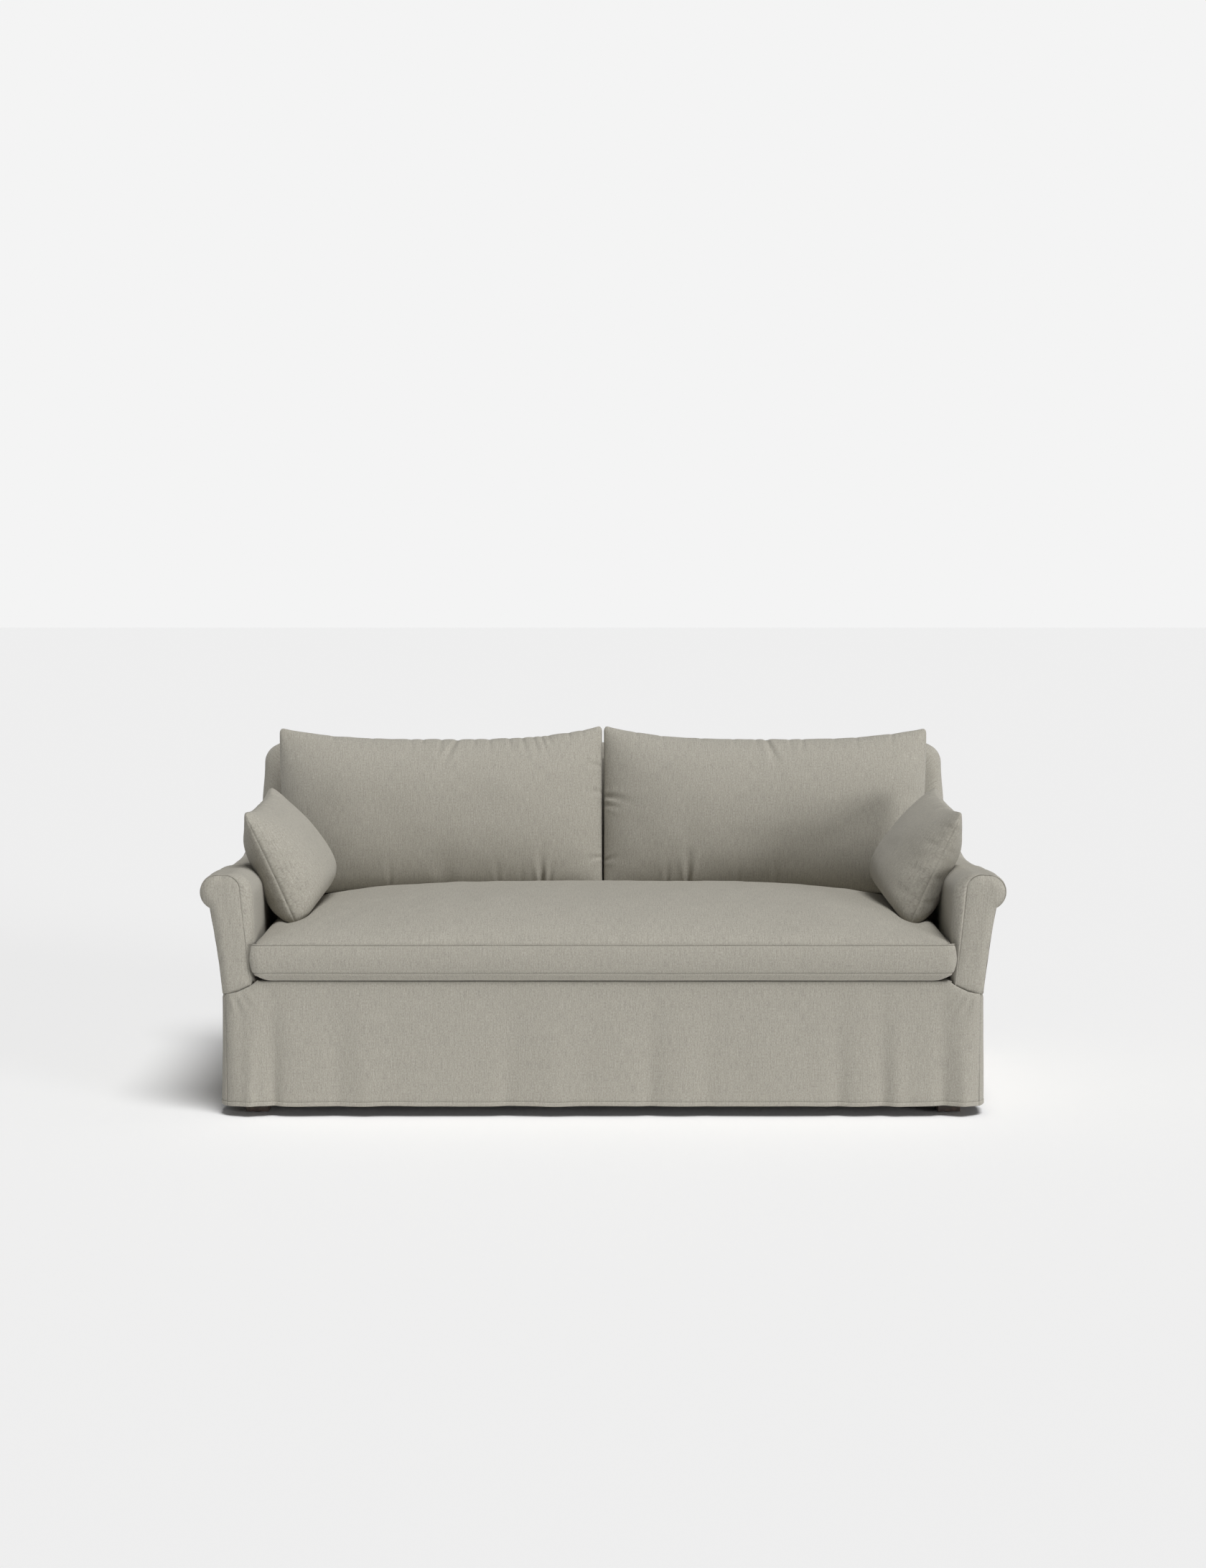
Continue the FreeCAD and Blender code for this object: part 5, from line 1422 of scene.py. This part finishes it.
def make_stage():
    """Pale floor, soft light and the photograph's camera."""
    scene = bpy.context.scene
    stage = settings().stage
    scene.view_settings.view_transform = "Standard"
    camera = bpy.data.cameras.new("camera")
    camera.lens = LENS
    camera.sensor_fit = "VERTICAL"
    camera.sensor_height = 36
    looker = bpy.data.objects.new("camera", camera)
    looker.location = CAMERA_AT
    looker.rotation_euler = Euler((math.radians(CAMERA_TILT), 0, 0))
    scene.collection.objects.link(looker)
    scene.camera = looker

    for name, strength, angle, way in (
        ("overhead_light", stage.overhead, 0.5, OVERHEAD_FROM),
        ("side_light", stage.side, 0.4, SIDE_FROM),
    ):
        sun = bpy.data.lights.new(name, "SUN")
        sun.energy = strength
        sun.angle = angle
        lamp = bpy.data.objects.new(name, sun)
        lamp.rotation_euler = Vector(way).to_track_quat("Z", "Y").to_euler()
        scene.collection.objects.link(lamp)

    world = bpy.data.worlds.new("studio")
    world.use_nodes = True
    scene.world = world
    tree = world.node_tree
    tree.nodes.clear()
    rays = add_node(tree, "ShaderNodeLightPath").outputs
    seen = rays["Is Camera Ray"]
    for kind in ("Is Glossy Ray", "Is Transmission Ray"):
        either = add_node(tree, "ShaderNodeMath", links={0: seen, 1: rays[kind]}, operation="MAXIMUM")
        seen = either.outputs["Value"]
    fill = add_node(tree, "ShaderNodeBackground", {"Color": (1, 1, 1, 1), "Strength": stage.ambient})
    view = add_node(tree, "ShaderNodeBackground", {"Color": rgba(linear(SKY_SEEN)), "Strength": 1.0})
    both = add_node(
        tree, "ShaderNodeMixShader",
        links={"Fac": seen, 1: fill.outputs["Background"], 2: view.outputs["Background"]},
    )
    add_node(tree, "ShaderNodeOutputWorld", links={"Surface": both.outputs["Shader"]})

    corners = ((-1, -1), (1, -1), (1, 1), (-1, 1))
    points = [Vector((x * FLOOR_REACH, y * FLOOR_REACH, 0)) for x, y in corners]
    floor = make_mesh("floor", points, [(0, 1, 2, 3)], [[(p.x, p.y) for p in points]])
    made, _, shader = new_material("painted_floor", 1.0, Specular_IOR_Level=0.0)
    shader.inputs["Base Color"].default_value = rgba(stage.floor)
    floor.data.materials.append(made)


class Builder:
    """What the sofa's operators share: a broken step raises, so that the script stops."""

    bl_options = {"REGISTER", "UNDO"}

    def execute(self, context):
        self.build()
        return {"FINISHED"}


class SOFA_OT_arms(Builder, bpy.types.Operator):
    """Scroll arms with their padded facings"""

    bl_idname = "sofa.arms"
    bl_label = "Arms"

    def build(self):
        for suffix, side in SIDES:
            make_arm(side, suffix)
            make_facing(side, suffix)


class SOFA_OT_back(Builder, bpy.types.Operator):
    """Inside back and outside back"""

    bl_idname = "sofa.back"
    bl_label = "Back"

    def build(self):
        make_inside_back()
        make_outside_back()


class SOFA_OT_skirt(Builder, bpy.types.Operator):
    """Skirt panels to the floor"""

    bl_idname = "sofa.skirt"
    bl_label = "Skirt"

    def build(self):
        make_skirt()


class SOFA_OT_deck(Builder, bpy.types.Operator):
    """Cloth over and under the springs"""

    bl_idname = "sofa.deck"
    bl_label = "Deck and dust cover"

    def build(self):
        make_deck()
        make_dust_cover()


class SOFA_OT_seat_cushion(Builder, bpy.types.Operator):
    """Bench seat cushion"""

    bl_idname = "sofa.seat_cushion"
    bl_label = "Seat cushion"

    def build(self):
        make_seat_cushion()


class SOFA_OT_back_cushions(Builder, bpy.types.Operator):
    """Loose back cushions"""

    bl_idname = "sofa.back_cushions"
    bl_label = "Back cushions"

    def build(self):
        make_back_cushions()


class SOFA_OT_throw_pillows(Builder, bpy.types.Operator):
    """Throw pillows"""

    bl_idname = "sofa.throw_pillows"
    bl_label = "Throw pillows"

    def build(self):
        make_throw_pillows()


class SOFA_OT_frame(Builder, bpy.types.Operator):
    """Finishes of the frame, feet and springs"""

    bl_idname = "sofa.frame"
    bl_label = "Frame and feet"

    def build(self):
        finish_frame()


class SOFA_OT_stage(Builder, bpy.types.Operator):
    """Floor, light and camera"""

    bl_idname = "sofa.stage"
    bl_label = "Stage"

    def build(self):
        make_stage()


OPERATORS = (
    SOFA_OT_arms, SOFA_OT_back, SOFA_OT_skirt, SOFA_OT_deck, SOFA_OT_seat_cushion,
    SOFA_OT_back_cushions, SOFA_OT_throw_pillows, SOFA_OT_frame, SOFA_OT_stage,
)


class SOFA_PT_panel(bpy.types.Panel):
    """Lists the sofa's parts and sizes"""

    bl_label = "Sofa"
    bl_idname = "SOFA_PT_panel"
    bl_space_type = "VIEW_3D"
    bl_region_type = "UI"
    bl_category = "Sofa"

    def draw(self, context):
        for operator in OPERATORS:
            self.layout.operator(operator.bl_idname)
        chosen = settings()
        for group in (chosen.linen, chosen.skirt, chosen.cushions, chosen.stage):
            box = self.layout.box()
            for name in group.__annotations__:
                box.prop(group, name)


CLASSES = (SofaLinen, SofaSkirt, SofaCushions, SofaStage, SofaSettings, *OPERATORS, SOFA_PT_panel)


def register():
    for cls in CLASSES:
        bpy.utils.register_class(cls)
    bpy.types.Scene.sofa = bpy.props.PointerProperty(type=SofaSettings)


def unregister():
    del bpy.types.Scene.sofa
    for cls in reversed(CLASSES):
        bpy.utils.unregister_class(cls)


def main():
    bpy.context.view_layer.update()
    register()
    bpy.ops.sofa.arms()
    bpy.ops.sofa.back()
    bpy.ops.sofa.skirt()
    bpy.ops.sofa.deck()
    bpy.ops.sofa.back_cushions()
    bpy.ops.sofa.throw_pillows()
    bpy.ops.sofa.seat_cushion()
    bpy.ops.sofa.frame()
    bpy.ops.sofa.stage()


if __name__ == "__main__":
    main()
